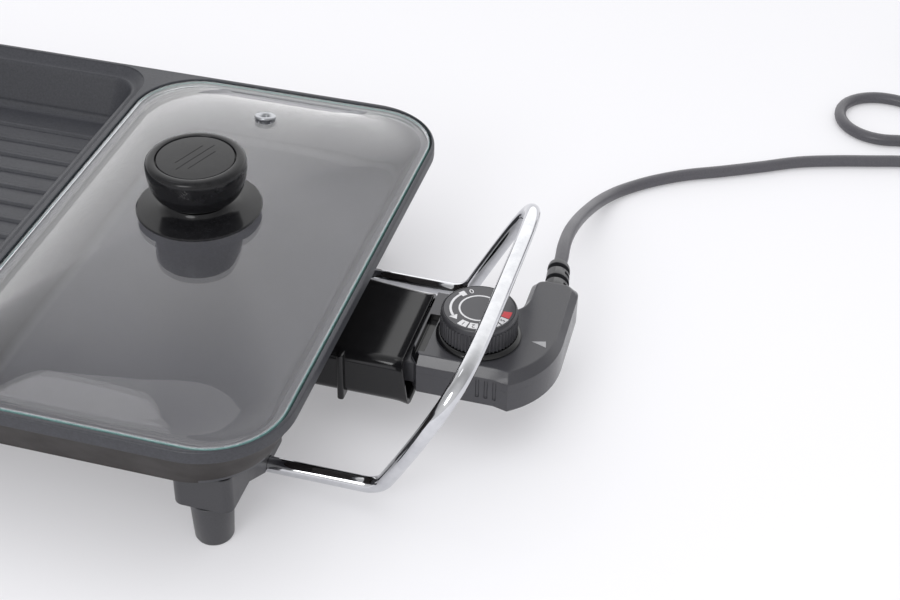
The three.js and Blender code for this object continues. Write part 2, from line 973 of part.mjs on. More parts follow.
function lidGlass() {
  const borderRing = (inset, z) =>
    ring(glassHalfX - inset, glassHalfY - inset, glassRadius - inset, z, potX);
  const edge = lid.thickness / 2;
  const rings = [];
  const shares = [];
  for (let i = 0; i <= lid.rings; i += 1) {
    shares.push(Math.pow(i / (lid.rings + 1), 0.75) * (lid.rings / (lid.rings + 0.5)));
  }
  for (const share of [...shares].reverse()) rings.push(domeRing(share, -lid.thickness));
  rings.push(borderRing(edge / 2, glassBase));
  rings.push(borderRing(0, glassBase + edge / 2));
  rings.push(borderRing(0, glassTop - edge / 2));
  rings.push(borderRing(edge / 2, glassTop));
  for (const share of shares) rings.push(domeRing(share, 0));
  const knobHole = rod(lid.knobHole / 2, glassBase, domeTop + overrun, potX, 0);
  const ventHole = rod(lid.ventHole / 2, glassBase, domeTop + overrun, ventX, ventY);
  return combine(loft(rings), [], [knobHole, ventHole]);
}

const ventX = potX - lid.ventFromMiddle;
const ventY = glassHalfY - lid.ventFromEnd;

// The glass surface above a point on the lid's long middle line
function glassHeightAt(y) {
  let low = 0;
  let high = 1;
  const innerX = glassHalfX - lid.flange;
  const innerY = glassHalfY - lid.flange;
  for (let pass = 0; pass < 40; pass += 1) {
    const share = (low + high) / 2;
    const reach =
      innerY * (1 - share) + (innerY - innerX) * share * (1 - share) * (1 - share);
    if (reach > y) low = share;
    else high = share;
  }
  return glassTop + domeAt(low);
}

const guardSeat = domeTop + clearance;
const guardRim = guardSeat + knob.guardEdge;
const gripFoot = guardRim + knob.waistRise;
const gripTop = gripFoot + knob.gripHeight;
const boltRadius = knob.screwRadius + clearance;

function knobGuard() {
  return turned([
    [boltRadius, guardSeat],
    [knob.hubRadius, guardSeat],
    [knob.guardRadius - knob.guardEdge / 2, guardRim - knob.guardEdge / 2],
    [knob.guardRadius, guardRim],
    [knob.guardRadius - knob.guardEdge / 2, guardRim + knob.guardEdge / 2],
    [knob.neckRadius + knob.waistRise, guardRim + knob.waistRise / 2],
    [knob.neckRadius, gripFoot - clearance],
    [boltRadius, gripFoot - clearance],
    [boltRadius, guardSeat],
  ]);
}

function knobGrip() {
  const bore = knob.insertRadius + clearance;
  const neckTop = gripFoot + knob.neckHeight;
  const capSeat = gripTop - knob.capThickness;
  const flareHeight = capSeat - neckTop;
  const flareWidth = knob.gripRadius - knob.neckRadius;
  const profile = [
    [bore, gripFoot],
    [knob.neckRadius, gripFoot],
    [knob.neckRadius, neckTop],
  ];
  const flareSteps = 6;
  for (let step = 1; step <= flareSteps; step += 1) {
    const angle = (step / flareSteps) * Math.PI / 2;
    profile.push([
      knob.neckRadius + flareWidth * Math.sin(angle),
      neckTop + flareHeight * (1 - Math.cos(angle)) * 0.875,
    ]);
  }
  profile.push([knob.gripRadius, capSeat]);
  profile.push([knob.gripRadius - knob.capThickness, gripTop]);
  profile.push([knob.lipRadius, gripTop]);
  profile.push([knob.lipRadius, capSeat]);
  profile.push([bore, capSeat]);
  profile.push([bore, gripFoot]);
  return turned(profile);
}

function knobCap() {
  const seat = gripTop - knob.capThickness + clearance;
  const radius = knob.lipRadius - clearance;
  return turned([
    [0, seat],
    [radius, seat],
    [radius, gripTop - clearance],
    [radius / 2, gripTop],
    [0, gripTop],
  ]);
}

function knobInsert() {
  const top = gripFoot + knob.screwReach + clearance * 2;
  return turned(
    [
      [boltRadius, gripFoot],
      [knob.insertRadius, gripFoot],
      [knob.insertRadius, top],
      [boltRadius, top],
      [boltRadius, gripFoot],
    ],
    smallSides,
  );
}

function knobWasher() {
  const top = domeTop - lid.thickness - clearance;
  return turned(
    [
      [boltRadius, top - knob.washerThickness],
      [knob.washerRadius, top - knob.washerThickness],
      [knob.washerRadius, top],
      [boltRadius, top],
      [boltRadius, top - knob.washerThickness],
    ],
    24,
  );
}

function knobScrew() {
  const headTop = domeTop - lid.thickness - knob.washerThickness - clearance * 2;
  return turned(
    [
      [0, headTop - knob.headHeight],
      [knob.headRadius - knob.headHeight / 2, headTop - knob.headHeight],
      [knob.headRadius, headTop - knob.headHeight / 2],
      [knob.headRadius, headTop],
      [knob.screwRadius, headTop],
      [knob.screwRadius, gripFoot + knob.screwReach],
      [0, gripFoot + knob.screwReach],
    ],
    smallSides,
  );
}

function ventShape() {
  const slope = Math.atan2(
    glassHeightAt(ventY - vent.flangeRadius) - glassHeightAt(ventY + vent.flangeRadius),
    vent.flangeRadius * 2,
  );
  const seat = vent.seatGap;
  const base = -lid.thickness - seat;
  const geometry = turned(
    [
      [vent.bore, base - vent.flangeHeight],
      [vent.collar, base - vent.flangeHeight],
      [vent.collar, base],
      [vent.tubeRadius, base],
      [vent.tubeRadius, seat],
      [vent.flangeRadius, seat],
      [vent.flangeRadius, seat + vent.flangeHeight / 2],
      [vent.flangeRadius - vent.flangeHeight, seat + vent.flangeHeight],
      [vent.bore + vent.flangeHeight / 2, seat + vent.flangeHeight],
      [vent.bore, seat],
      [vent.bore, base - vent.flangeHeight],
    ],
    12,
  );
  geometry.rotateX(-slope);
  return geometry.translate(ventX, ventY, glassHeightAt(ventY));
}

// Thermostat: plan of the moulding, drawn in by a wall
function controlPlan(inset) {
  const plan = new THREE.Shape();
  const front = -control.half + inset;
  const back = control.half - inset;
  const right = control.reach - inset;
  const armRight = control.armRight - inset;
  const armLeft = control.armLeft + inset;
  const armEnd = control.armEnd - inset;
  const cornerX = control.cornerX - inset * control.cornerShare;
  const cornerY = -control.cornerHalf + inset + inset * control.cornerShare;
  const bend = control.armCorner;
  plan.moveTo(control.left + inset, front);
  plan.lineTo(control.grooveX, front);
  plan.lineTo(cornerX, cornerY);
  plan.bezierCurveTo(
    cornerX + (right - cornerX) / 2,
    cornerY + (control.sideY - cornerY) / 2 * control.cornerShare,
    right,
    cornerY + (control.sideY - cornerY) / 2,
    right,
    control.sideY,
  );
  plan.lineTo(armRight, control.armHalf - inset);
  plan.quadraticCurveTo(armRight, armEnd, armRight - bend, armEnd);
  plan.lineTo(armLeft + bend, armEnd);
  plan.quadraticCurveTo(armLeft, armEnd, armLeft, armEnd - bend);
  plan.lineTo(armLeft, control.notchY);
  plan.bezierCurveTo(
    armLeft,
    control.notchY - (control.notchY - back) * 0.75,
    armLeft - (armLeft - control.notchX) / 2,
    back,
    control.notchX,
    back,
  );
  plan.lineTo(control.left + inset, back);
  plan.closePath();
  return plan;
}

function moulding(inset, low, high, bevelIn, bevelDown) {
  const height = high - low - bevelDown * 2;
  const geometry = extruded(controlPlan(inset), height, {
    bevelEnabled: true,
    bevelSize: bevelIn,
    bevelOffset: -bevelIn,
    bevelThickness: bevelDown,
    bevelSegments: 2,
    curveSegments: 6,
  });
  return geometry.translate(0, 0, low + bevelDown);
}

function plainMoulding(inset, low, high) {
  const geometry = extruded(controlPlan(inset), high - low, { curveSegments: 6 });
  return geometry.translate(0, 0, low);
}

// Openings that both halves of the thermostat share
function neckCut() {
  return box(
    control.left - overrun,
    carrier.right + clearance,
    -carrier.half - clearance,
    carrier.half + clearance,
    carrier.base - clearance,
    carrier.top + clearance,
  );
}

function reliefCut() {
  const geometry = rod(
    relief.neckRadius + clearance,
    control.armEnd - control.wall - overrun,
    control.armEnd + overrun,
  );
  geometry.rotateX(-Math.PI / 2);
  return geometry.translate(relief.x, 0, relief.height);
}

function screwColumn(x, y, low, high) {
  return rod(coverScrew.radius * 2, low, high, x, y);
}

function controlBase() {
  const whole = moulding(0, control.base, control.split + control.bevelDown, control.baseBevel, control.baseBevel);
  const slab = box(
    control.left - overrun,
    control.reach + overrun,
    -control.cornerHalf - overrun,
    control.armEnd + overrun,
    control.split,
    control.top + overrun,
  );
  const hollow = plainMoulding(control.wall, control.base + control.wall, control.top);
  let solid = toSolid(whole).subtract(toSolid(slab)).subtract(toSolid(hollow));
  for (const [x, y] of coverScrewPlaces) {
    solid = solid.add(toSolid(screwColumn(x, y, control.base + control.wall / 2, control.split)));
  }
  solid = solid.subtract(toSolid(neckCut())).subtract(toSolid(reliefCut()));
  for (const [x, y] of coverScrewPlaces) {
    const through = rod(coverScrew.radius + clearance, control.base - overrun, control.split + overrun, x, y);
    const sink = rod(
      coverScrew.head + clearance,
      control.base - overrun,
      control.base + coverScrew.headHeight + clearance,
      x,
      y,
    );
    solid = solid.subtract(toSolid(through)).subtract(toSolid(sink));
  }
  return toGeometry(solid);
}

function controlCover() {
  const seam = control.split + clearance;
  const whole = moulding(0, seam - control.bevelDown, control.top, control.bevelIn, control.bevelDown);
  const slab = box(
    control.left - overrun,
    control.reach + overrun,
    -control.cornerHalf - overrun,
    control.armEnd + overrun,
    control.base,
    seam,
  );
  const hollow = plainMoulding(control.wall, control.base, control.top - control.bevelDown);
  let solid = toSolid(whole).subtract(toSolid(slab)).subtract(toSolid(hollow));
  for (const [x, y] of coverScrewPlaces) {
    solid = solid.add(toSolid(screwColumn(x, y, seam, control.top - control.bevelDown / 2)));
  }
  for (const [x, y] of coverScrewPlaces) {
    const blind = rod(coverScrew.radius + clearance, seam - overrun, seam + coverScrew.reach + clearance, x, y);
    solid = solid.subtract(toSolid(blind));
  }
  const spindleHole = rod(spindle.radius + clearance, control.split, control.top + overrun, dial.x, 0);
  return toGeometry(
    solid.subtract(toSolid(neckCut())).subtract(toSolid(reliefCut())).subtract(toSolid(spindleHole)),
  );
}

function coverScrewShape() {
  const base = control.base + clearance;
  const headTop = base + coverScrew.headHeight - clearance;
  return turned(
    [
      [0, base],
      [coverScrew.head, base],
      [coverScrew.head, headTop],
      [coverScrew.radius, headTop],
      [coverScrew.radius, control.split + coverScrew.reach],
      [0, control.split + coverScrew.reach],
    ],
    12,
  );
}

function contactCarrier() {
  const block = box(
    carrier.left,
    carrier.right,
    -carrier.half,
    carrier.half,
    carrier.base,
    carrier.top,
  );
  const cuts = [];
  for (const side of [1, -1]) {
    cuts.push(
      rodX(
        sleeve.outer / 2 + clearance,
        carrier.left - overrun,
        sleeve.right + clearance,
        side * element.terminalHalf,
        element.terminalHeight,
      ),
    );
  }
  cuts.push(rodX(probe.radius + clearance, carrier.left - overrun, carrier.right + overrun, 0, probe.height));
  return combine(block, [], cuts);
}

function sleeveShape() {
  const inner = pin.diameter / 2 + clearance;
  const outer = sleeve.outer / 2;
  const geometry = turned(
    [
      [inner, sleeve.left],
      [outer, sleeve.left],
      [outer, sleeve.right],
      [inner, sleeve.right],
      [inner, sleeve.left],
    ],
    smallSides,
  );
  return geometry.rotateY(Math.PI / 2);
}

function pinShape() {
  const rear = -element.coldEnd + clearance;
  const shank = -socket.inner + socket.rearWall + clearance;
  const radius = pin.diameter / 2;
  const geometry = turned(
    [
      [0, rear],
      [radius, rear],
      [radius, pin.tip - radius],
      [radius / 2, pin.tip],
      [0, pin.tip],
    ],
    smallSides,
  );
  geometry.rotateY(Math.PI / 2);
  const collar = rodX(radius + clearance * 4, shank, shank + overrun, 0, 0);
  return combine(geometry, [collar]);
}

function probeTube() {
  const inner = probe.radius - probe.wall;
  const geometry = turned(
    [
      [0, -probe.depth],
      [probe.radius / 2, -probe.depth],
      [probe.radius, -probe.depth + probe.radius / 2],
      [probe.radius, carrier.right - clearance],
      [inner, carrier.right - clearance],
      [inner, -probe.depth + probe.radius],
      [0, -probe.depth + probe.radius],
    ],
    smallSides,
  );
  return geometry.rotateY(Math.PI / 2);
}

function pushRodShape() {
  return rodX(pushRod.radius, -probe.depth + probe.radius + clearance, pushRod.out, 0, 0, 12);
}

function probeGuide() {
  const inner = probe.radius + clearance * 2;
  const left = -socket.inner - probe.guideLength;
  const right = -socket.inner + socket.rearWall;
  const geometry = turned(
    [
      [inner, left],
      [probe.guideRadius, left],
      [probe.guideRadius, right],
      [inner, right],
      [inner, left],
    ],
    smallSides,
  );
  return geometry.rotateY(Math.PI / 2);
}

function dialKnob() {
  const outline = new THREE.Shape();
  const points = dial.teeth * 2;
  for (let i = 0; i < points; i += 1) {
    const radius = dial.radius - (i % 2 === 0 ? 0 : dial.toothDepth);
    const angle = (i / points) * Math.PI * 2;
    const x = radius * Math.cos(angle);
    const y = radius * Math.sin(angle);
    if (i === 0) outline.moveTo(x, y);
    else outline.lineTo(x, y);
  }
  outline.closePath();
  const plainBase = dial.top - dial.plainTop;
  const knurl = extruded(outline, plainBase - dial.base).translate(0, 0, dial.base);
  const cap = turned([
    [0, plainBase - overrun],
    [dial.radius - dial.toothDepth, plainBase - overrun],
    [dial.radius - dial.toothDepth / 2, dial.top - dial.toothDepth * 2],
    [dial.radius - dial.toothDepth * 2, dial.top],
    [0, dial.top],
  ]);
  const hollow = rod(
    dial.radius - dial.toothDepth - dial.wall,
    dial.base - overrun,
    dial.top - dial.wall - dial.faceThickness - clearance,
    0,
    0,
    roundSides,
  );
  const hub = rod(dial.hubRadius, dial.base, dial.top - dial.wall, 0, 0);
  const bore = rod(spindle.radius + clearance, dial.base - overrun, dialBoreTop, 0, 0);
  const seat = rod(
    dial.faceRadius + clearance,
    dial.top - dial.faceThickness - clearance,
    dial.top + overrun,
    0,
    0,
    roundSides,
  );
  let solid = toSolid(knurl).add(toSolid(cap)).subtract(toSolid(hollow)).add(toSolid(hub));
  solid = solid.subtract(toSolid(bore)).subtract(toSolid(seat));
  return toGeometry(solid);
}

const dialBoreTop = dial.top - dial.wall * 2;

function dialFace() {
  return turned([
    [0, dial.top - dial.faceThickness],
    [dial.faceRadius, dial.top - dial.faceThickness],
    [dial.faceRadius, dial.top],
    [0, dial.top],
  ]);
}

function dialBezel() {
  const base = control.top + clearance;
  return turned([
    [dial.bezelInner, base],
    [dial.bezelRadius, base],
    [dial.bezelRadius, base + (dial.bezelTop - base) / 2],
    [dial.bezelRadius - dial.wall / 2, dial.bezelTop],
    [dial.bezelInner, dial.bezelTop],
    [dial.bezelInner, base],
  ]);
}

function spindleShape() {
  const top = dialBoreTop - clearance;
  const collarBase = frame.topArm + clearance;
  return turned(
    [
      [0, spindle.base],
      [spindle.radius - spindle.flat / 2, spindle.base],
      [spindle.radius, spindle.base + spindle.flat / 2],
      [spindle.radius, collarBase],
      [spindle.collarRadius, collarBase],
      [spindle.collarRadius, collarBase + spindle.collarHeight / 2],
      [spindle.radius, collarBase + spindle.collarHeight / 2],
      [spindle.radius, top],
      [0, top],
    ],
    smallSides,
  );
}

// C-shaped metal frame that carries the spindle over the contact blade
function thermostatFrame() {
  const side = new THREE.Shape();
  const { left, right, foot: low, topArm, thickness } = frame;
  const inner = right - thickness;
  side.moveTo(left, low);
  side.lineTo(right, low);
  side.lineTo(right, topArm);
  side.lineTo(left, topArm);
  side.lineTo(left, topArm - thickness);
  side.lineTo(inner, topArm - thickness);
  side.lineTo(inner, low + thickness);
  side.lineTo(left, low + thickness);
  side.closePath();
  const geometry = extruded(side, frame.width);
  geometry.rotateX(Math.PI / 2);
  geometry.translate(0, frame.width / 2, 0);
  const hole = rod(spindle.radius + clearance, topArm - thickness - overrun, topArm + overrun, dial.x, 0);
  const post = rod(
    coverScrew.radius * 2,
    control.base + control.wall + clearance,
    low + thickness / 2,
    (left + right) / 2,
    0,
  );
  return combine(geometry, [post], [hole]);
}

function contactBlade() {
  return box(
    blade.left,
    blade.right,
    -blade.width / 2,
    blade.width / 2,
    frame.foot + frame.thickness + clearance,
    frame.foot + frame.thickness + clearance + blade.thickness,
  );
}

// Strain relief: tapered, with ring grooves, pointing along +Y
function reliefShape() {
  const start = control.armEnd + clearance;
  const length = relief.tail - start;
  const flangeTop = control.armEnd - control.wall - relief.flangeGap;
  const profile = [
    [0, flangeTop - relief.flangeWidth],
    [relief.flangeRadius, flangeTop - relief.flangeWidth],
    [relief.flangeRadius, flangeTop],
    [relief.neckRadius, flangeTop],
    [relief.neckRadius, start],
    [relief.baseRadius, start],
  ];
  const taper = (share) => relief.baseRadius + (relief.endRadius - relief.baseRadius) * share;
  const bands = relief.grooves * 2 + 1;
  for (let band = 1; band < bands; band += 1) {
    const share = band / bands;
    const deep = relief.grooveDepth;
    const here = start + length * share;
    const wide = taper(share);
    if (band % 2 === 1) profile.push([wide, here], [wide - deep, here]);
    else profile.push([wide - deep, here], [wide, here]);
  }
  profile.push([relief.endRadius, relief.tail - relief.grooveDepth]);
  profile.push([relief.endRadius - relief.grooveDepth, relief.tail]);
  profile.push([0, relief.tail]);
  const geometry = turned(profile, smallSides);
  geometry.rotateX(-Math.PI / 2);
  return geometry.translate(relief.x, 0, relief.height);
}

// Cord on the table
function cordStations() {
  const points = cordRoute.map(([x, y, z]) => new THREE.Vector3(x, y, z));
  const curve = new THREE.CatmullRomCurve3(points.slice(1, -1), false, "centripetal");
  return [points[0], ...curve.getSpacedPoints(cord.steps), points[points.length - 1]];
}

// Coil: in on the lower layer, up a layer in the half turn where it reverses, out on the upper one
const coilStart = new THREE.Vector3(...cordRoute[cordRoute.length - 1]);
const coilOuter = coil.innerRadius + turnPitch * coil.turnsPerLayer;
const coilCentre = coilStart.clone();
coilCentre.x += clearance + cord.diameter;
coilCentre.y += coilOuter;

function coilStations() {
  const stations = [new THREE.Vector3(coilStart.x + clearance, coilStart.y, coilStart.z)];
  const total = coil.turnsPerLayer * 2;
  const count = Math.round(total * coil.stepsPerTurn);
  for (let step = 0; step <= count; step += 1) {
    const turns = (step / count) * total;
    const beyond = turns - coil.turnsPerLayer;
    const climb = Math.min(Math.max(beyond / coil.climbTurns + 0.5, 0), 1);
    const radius = coil.innerRadius + turnPitch * Math.abs(beyond);
    const angle = turns * Math.PI * 2 - Math.PI / 2;
    const lift = climb * climb * (3 - climb * 2) * turnPitch;
    stations.push(
      new THREE.Vector3(
        coilCentre.x + radius * Math.cos(angle),
        coilCentre.y + radius * Math.sin(angle),
        coilCentre.z + lift,
      ),
    );
  }
  const end = stations[stations.length - 1];
  stations.push(end.clone().add(new THREE.Vector3(-coil.tail, 0, 0)));
  return stations;
}

// Least gap between two parts of a tube that lie further apart along it than a few diameters
function selfGap(stations, apart) {
  const fine = new Route(stations).getPoints(stations.length * fineness);
  let least = Infinity;
  for (let i = 0; i < fine.length; i += 1) {
    for (let j = i + apart * fineness; j < fine.length; j += 1) {
      least = Math.min(least, fine[i].distanceTo(fine[j]) - cord.diameter);
    }
  }
  return least.toFixed(2);
}

// A strap round the bundle of turns on the coil's far side
function tieShape() {
  const slack = coil.tieSlack;
  const inner = coil.innerRadius - cordRadius - slack;
  const outer = coilOuter + cordRadius + slack;
  const wall = coilCentre.z - cordRadius - clearance;
  const low = wall;
  const high = coilCentre.z + turnPitch + cordRadius + slack;
  const loop = new THREE.Shape();
  loop.moveTo(inner - wall, low - wall);
  loop.lineTo(outer + wall, low - wall);
  loop.lineTo(outer + wall, high + wall);
  loop.lineTo(inner - wall, high + wall);
  loop.closePath();
  const gap = new THREE.Path();
  gap.moveTo(inner, low);
  gap.lineTo(inner, high);
  gap.lineTo(outer, high);
  gap.lineTo(outer, low);
  gap.closePath();
  loop.holes.push(gap);
  const geometry = extruded(loop, coil.tieWidth);
  geometry.rotateX(Math.PI / 2);
  return geometry.translate(coilCentre.x, coilCentre.y + coil.tieWidth / 2, 0);
}

// Plug: lies flat, nose towards the coil's end, pins towards -X
function plugBody(end) {
  const halfHeight = end.z;
  const start = -clearance;
  const nose = rodX(plug.noseRadius, start - plug.noseLength - overrun, start, 0, 0, 24);
  const bodyRight = start - plug.noseLength;
  const bodyLeft = bodyRight - plug.bodyLength;
  const taper = new THREE.CylinderGeometry(
    plug.noseRadius + overrun,
    plug.halfWidth,
    plug.bodyLength - plug.faceDepth,
    roundSides,
  );
  taper.rotateZ(-Math.PI / 2);
  taper.translate(bodyRight - (plug.bodyLength - plug.faceDepth) / 2, 0, 0);
  const face = rodX(plug.halfWidth, bodyLeft, bodyLeft + plug.faceDepth + overrun, 0, 0, roundSides);
  const slab = box(
    bodyLeft - overrun,
    start + overrun,
    -plug.halfWidth - overrun,
    plug.halfWidth + overrun,
    -halfHeight,
    halfHeight,
  );
  const cuts = [];
  for (const side of [1, -1]) {
    cuts.push(
      rodX(
        plug.pinRadius + clearance,
        bodyLeft - overrun,
        bodyLeft + plug.faceDepth,
        side * plug.pinHalf,
        0,
        smallSides,
      ),
    );
  }
  let solid = toSolid(nose).add(toSolid(taper)).add(toSolid(face)).intersect(toSolid(slab));
  for (const shape of cuts) solid = solid.subtract(toSolid(shape));
  return toGeometry(solid);
}

function plugPin() {
  const bodyLeft = -clearance - plug.noseLength - plug.bodyLength;
  const root = bodyLeft + plug.faceDepth - clearance;
  const geometry = turned(
    [
      [0, root - plug.faceDepth - plug.pinLength],
      [plug.pinRadius / 2, root - plug.faceDepth - plug.pinLength],
      [plug.pinRadius, root - plug.faceDepth - plug.pinLength + plug.pinRadius / 2],
      [plug.pinRadius, root],
      [0, root],
    ],
    smallSides,
  );
  return geometry.rotateY(Math.PI / 2);
}

// Assembly
const grill = new THREE.Group();

const base = new THREE.Group();
base.add(piece("cooking_plate", cookingPlate(), "tray"));
base.add(piece("heating_element", elementShape(), "steel"));
quarters.forEach(([sideX, sideY], index) => {
  const number = index + 1;
  const [x, y] = footPlace(sideX, sideY);
  const corner = new THREE.Group();
  corner.position.set(x, y, 0);
  const bracketMesh = piece(`foot_bracket_${number}`, bracketShape(), "satinBlack");
  bracketMesh.scale.set(sideX, -sideY, 1);
  corner.add(bracketMesh);
  corner.add(piece(`foot_${number}`, footShape(), "glossBlack"));
  const [bossX, bossY] = bossPlace(sideX, sideY);
  corner.add(piece(`bracket_screw_${number}`, bracketScrewShape(), "steel", [bossX - x, bossY - y, 0]));
  base.add(corner);
});
const rightHandle = piece("handle_right", handleShape(), "chrome");
const leftHandle = piece("handle_left", handleShape(), "chrome");
leftHandle.rotation.z = Math.PI;
base.add(rightHandle, leftHandle);
const clipPlaces = [
  [trayEnd - clip.nearEnd, elementHalf],
  [trayEnd - clip.nearEnd, -elementHalf],
  [clip.farEnd - trayEnd, elementHalf],
  [clip.farEnd - trayEnd, element.innerHalf],
  [clip.farEnd - trayEnd, -element.innerHalf],
  [clip.farEnd - trayEnd, -elementHalf],
];
clipPlaces.forEach(([x, y], index) => {
  base.add(piece(`element_clip_${index + 1}`, clipShape(), "steel", [x, y, 0]));
});
base.add(piece("socket_housing", socketShape(), "glossBlack"));
for (const side of [1, -1]) {
  const name = side > 0 ? "rear" : "front";
  const earX = trayEnd - socket.inner - socket.earLength / 2;
  base.add(piece(`socket_screw_${name}`, socketScrewShape(), "steel", [earX, side * socket.earHalf, 0]));
  base.add(
    piece(`terminal_pin_${name}`, pinShape(), "brass", [
      trayEnd,
      side * element.terminalHalf,
      element.terminalHeight,
    ]),
  );
}
base.add(piece("probe_guide", probeGuide(), "steel", [trayEnd, 0, probe.height]));

const cover = new THREE.Group();
cover.add(piece("lid_glass", lidGlass(), "glass"));
const knobGroup = new THREE.Group();
knobGroup.position.x = potX;
knobGroup.add(piece("knob_guard", knobGuard(), "satinBlack"));
knobGroup.add(piece("knob_grip", knobGrip(), "glossBlack"));
knobGroup.add(piece("knob_cap", knobCap(), "satinBlack"));
knobGroup.add(piece("knob_insert", knobInsert(), "brass"));
knobGroup.add(piece("knob_washer", knobWasher(), "rubber"));
knobGroup.add(piece("knob_screw", knobScrew(), "steel"));
cover.add(knobGroup, piece("steam_vent", ventShape(), "steel"));

const thermostat = new THREE.Group();
thermostat.position.x = trayEnd;
thermostat.add(piece("controller_base", controlBase(), "satinBlack"));
thermostat.add(piece("controller_cover", controlCover(), "satinBlack"));
thermostat.add(piece("contact_carrier", contactCarrier(), "ceramic"));
for (const side of [1, -1]) {
  const name = side > 0 ? "rear" : "front";
  thermostat.add(
    piece(`contact_sleeve_${name}`, sleeveShape(), "brass", [
      0,
      side * element.terminalHalf,
      element.terminalHeight,
    ]),
  );
}
thermostat.add(piece("probe_tube", probeTube(), "steel", [0, 0, probe.height]));
thermostat.add(piece("push_rod", pushRodShape(), "ceramic", [0, 0, probe.height]));
thermostat.add(piece("thermostat_frame", thermostatFrame(), "steel"));
thermostat.add(piece("contact_blade", contactBlade(), "brass"));
thermostat.add(piece("dial_bezel", dialBezel(), "steel", [dial.x, 0, 0]));
coverScrewPlaces.forEach(([x, y], index) => {
  thermostat.add(piece(`cover_screw_${index + 1}`, coverScrewShape(), "steel", [x, y, 0]));
});
const dialGroup = new THREE.Group();
dialGroup.position.x = dial.x;
dialGroup.add(piece("dial_knob", dialKnob(), "glossBlack"));
dialGroup.add(piece("dial_face", dialFace(), "satinBlack"));
dialGroup.add(piece("dial_spindle", spindleShape(), "steel"));
thermostat.add(dialGroup);
const bodyPieces = thermostat.children.length;
thermostat.add(piece("strain_relief", reliefShape(), "rubber"));
const run = cordStations();
const runApart = 4;
thermostat.add(piece("power_cord", tube(run, cordRadius, cord.sides), "rubber"));
const turns = coilStations();
console.log("least gap of the coil to itself, mm:", selfGap(turns, coil.stepsPerTurn / 2));
console.log("least gap of the run to itself, mm:", selfGap(run, runApart));
thermostat.add(piece("cord_coil", tube(turns, cordRadius, coil.sides), "rubber"));
thermostat.add(piece("cord_tie", tieShape(), "tie"));
const coilEnd = turns[turns.length - 1];
const plugPlace = [coilEnd.x, coilEnd.y, coilEnd.z];
thermostat.add(piece("plug_body", plugBody(coilEnd), "glossBlack", plugPlace));
for (const side of [1, -1]) {
  const name = side > 0 ? "a" : "b";
  const place = [coilEnd.x, coilEnd.y + side * plug.pinHalf, coilEnd.z];
  thermostat.add(piece(`plug_pin_${name}`, plugPin(), "steel", place));
}

grill.add(base, cover, thermostat);

// The part's origin is on the table below the middle of the object without its cord
grill.updateMatrixWorld(true);
const extent = new THREE.Box3().setFromObject(base, true);
for (const mesh of thermostat.children.slice(0, bodyPieces)) extent.expandByObject(mesh, true);
grill.position.x = -(extent.min.x + extent.max.x) / 2;

export default grill;
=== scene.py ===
"""Looks of an electric table grill with a loose glass lid and a plug-in thermostat.

Lengths are in metres. Shapes are worked out along X from the tray's right end, where the thermostat
plugs in, and moved to the frame when a piece is finished.
"""
import json
import math

import bmesh
import bpy
from bpy.props import FloatProperty, FloatVectorProperty, IntProperty, PointerProperty
from mathutils import Matrix, Vector

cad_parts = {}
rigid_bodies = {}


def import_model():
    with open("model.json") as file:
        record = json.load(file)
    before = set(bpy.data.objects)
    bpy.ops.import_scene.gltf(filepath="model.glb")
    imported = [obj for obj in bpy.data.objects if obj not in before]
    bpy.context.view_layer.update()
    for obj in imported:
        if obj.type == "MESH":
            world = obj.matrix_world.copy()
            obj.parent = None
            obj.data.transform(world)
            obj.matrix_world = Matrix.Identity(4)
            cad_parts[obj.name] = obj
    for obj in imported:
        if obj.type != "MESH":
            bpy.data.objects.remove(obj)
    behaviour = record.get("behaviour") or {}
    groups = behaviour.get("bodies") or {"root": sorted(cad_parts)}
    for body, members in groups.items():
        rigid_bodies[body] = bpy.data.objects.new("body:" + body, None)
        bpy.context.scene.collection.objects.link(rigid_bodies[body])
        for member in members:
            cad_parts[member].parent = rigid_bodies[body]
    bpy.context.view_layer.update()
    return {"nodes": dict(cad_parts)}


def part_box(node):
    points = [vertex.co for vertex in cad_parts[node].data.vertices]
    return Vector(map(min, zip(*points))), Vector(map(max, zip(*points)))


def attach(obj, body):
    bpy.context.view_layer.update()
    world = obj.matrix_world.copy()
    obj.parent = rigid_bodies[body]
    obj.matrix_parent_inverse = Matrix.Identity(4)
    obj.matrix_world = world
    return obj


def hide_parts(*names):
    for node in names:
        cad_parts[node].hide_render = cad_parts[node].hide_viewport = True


bl_info = {
    "name": "Electric Table Grill",
    "version": (1, 0, 0),
    "blender": (4, 5, 0),
    "location": "3D View > Sidebar > Table Grill",
    "description": "Builds the looks of an electric table grill around its packed model",
    "category": "Object",
}

for leftover in list(bpy.data.objects):
    bpy.data.objects.remove(leftover)

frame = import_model()
PLATE_LOW, PLATE_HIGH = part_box("cooking_plate")
TRAY_END = PLATE_HIGH.x
TRAY_LENGTH = PLATE_HIGH.x - PLATE_LOW.x
RIM = PLATE_HIGH.z

MM = 0.001
# Clearance that touching pieces keep
GAP = 0.3 * MM
# How far a cutter reaches past the face that it opens
OVERRUN = 2 * MM
# Points closer than this are one point
WELD = 1e-6
# Edges that turn by more than this are rounded
SOFT_ANGLE = math.radians(28)
QUARTER = math.pi / 2
CORNERS = ((1, -1), (1, 1), (-1, -1), (-1, 1))
FINISH = {}


# Mesh helpers


def soften(bm, width, segments=2):
    """Rounds the edges that turn sharply."""
    edges = [e for e in bm.edges if e.is_manifold and e.calc_face_angle(0) > SOFT_ANGLE]
    bmesh.ops.bevel(
        bm,
        geom=edges,
        offset=width,
        offset_type="OFFSET",
        segments=segments,
        profile=0.5,
        affect="EDGES",
        material=-1,
        clamp_overlap=True,
    )
    return bm


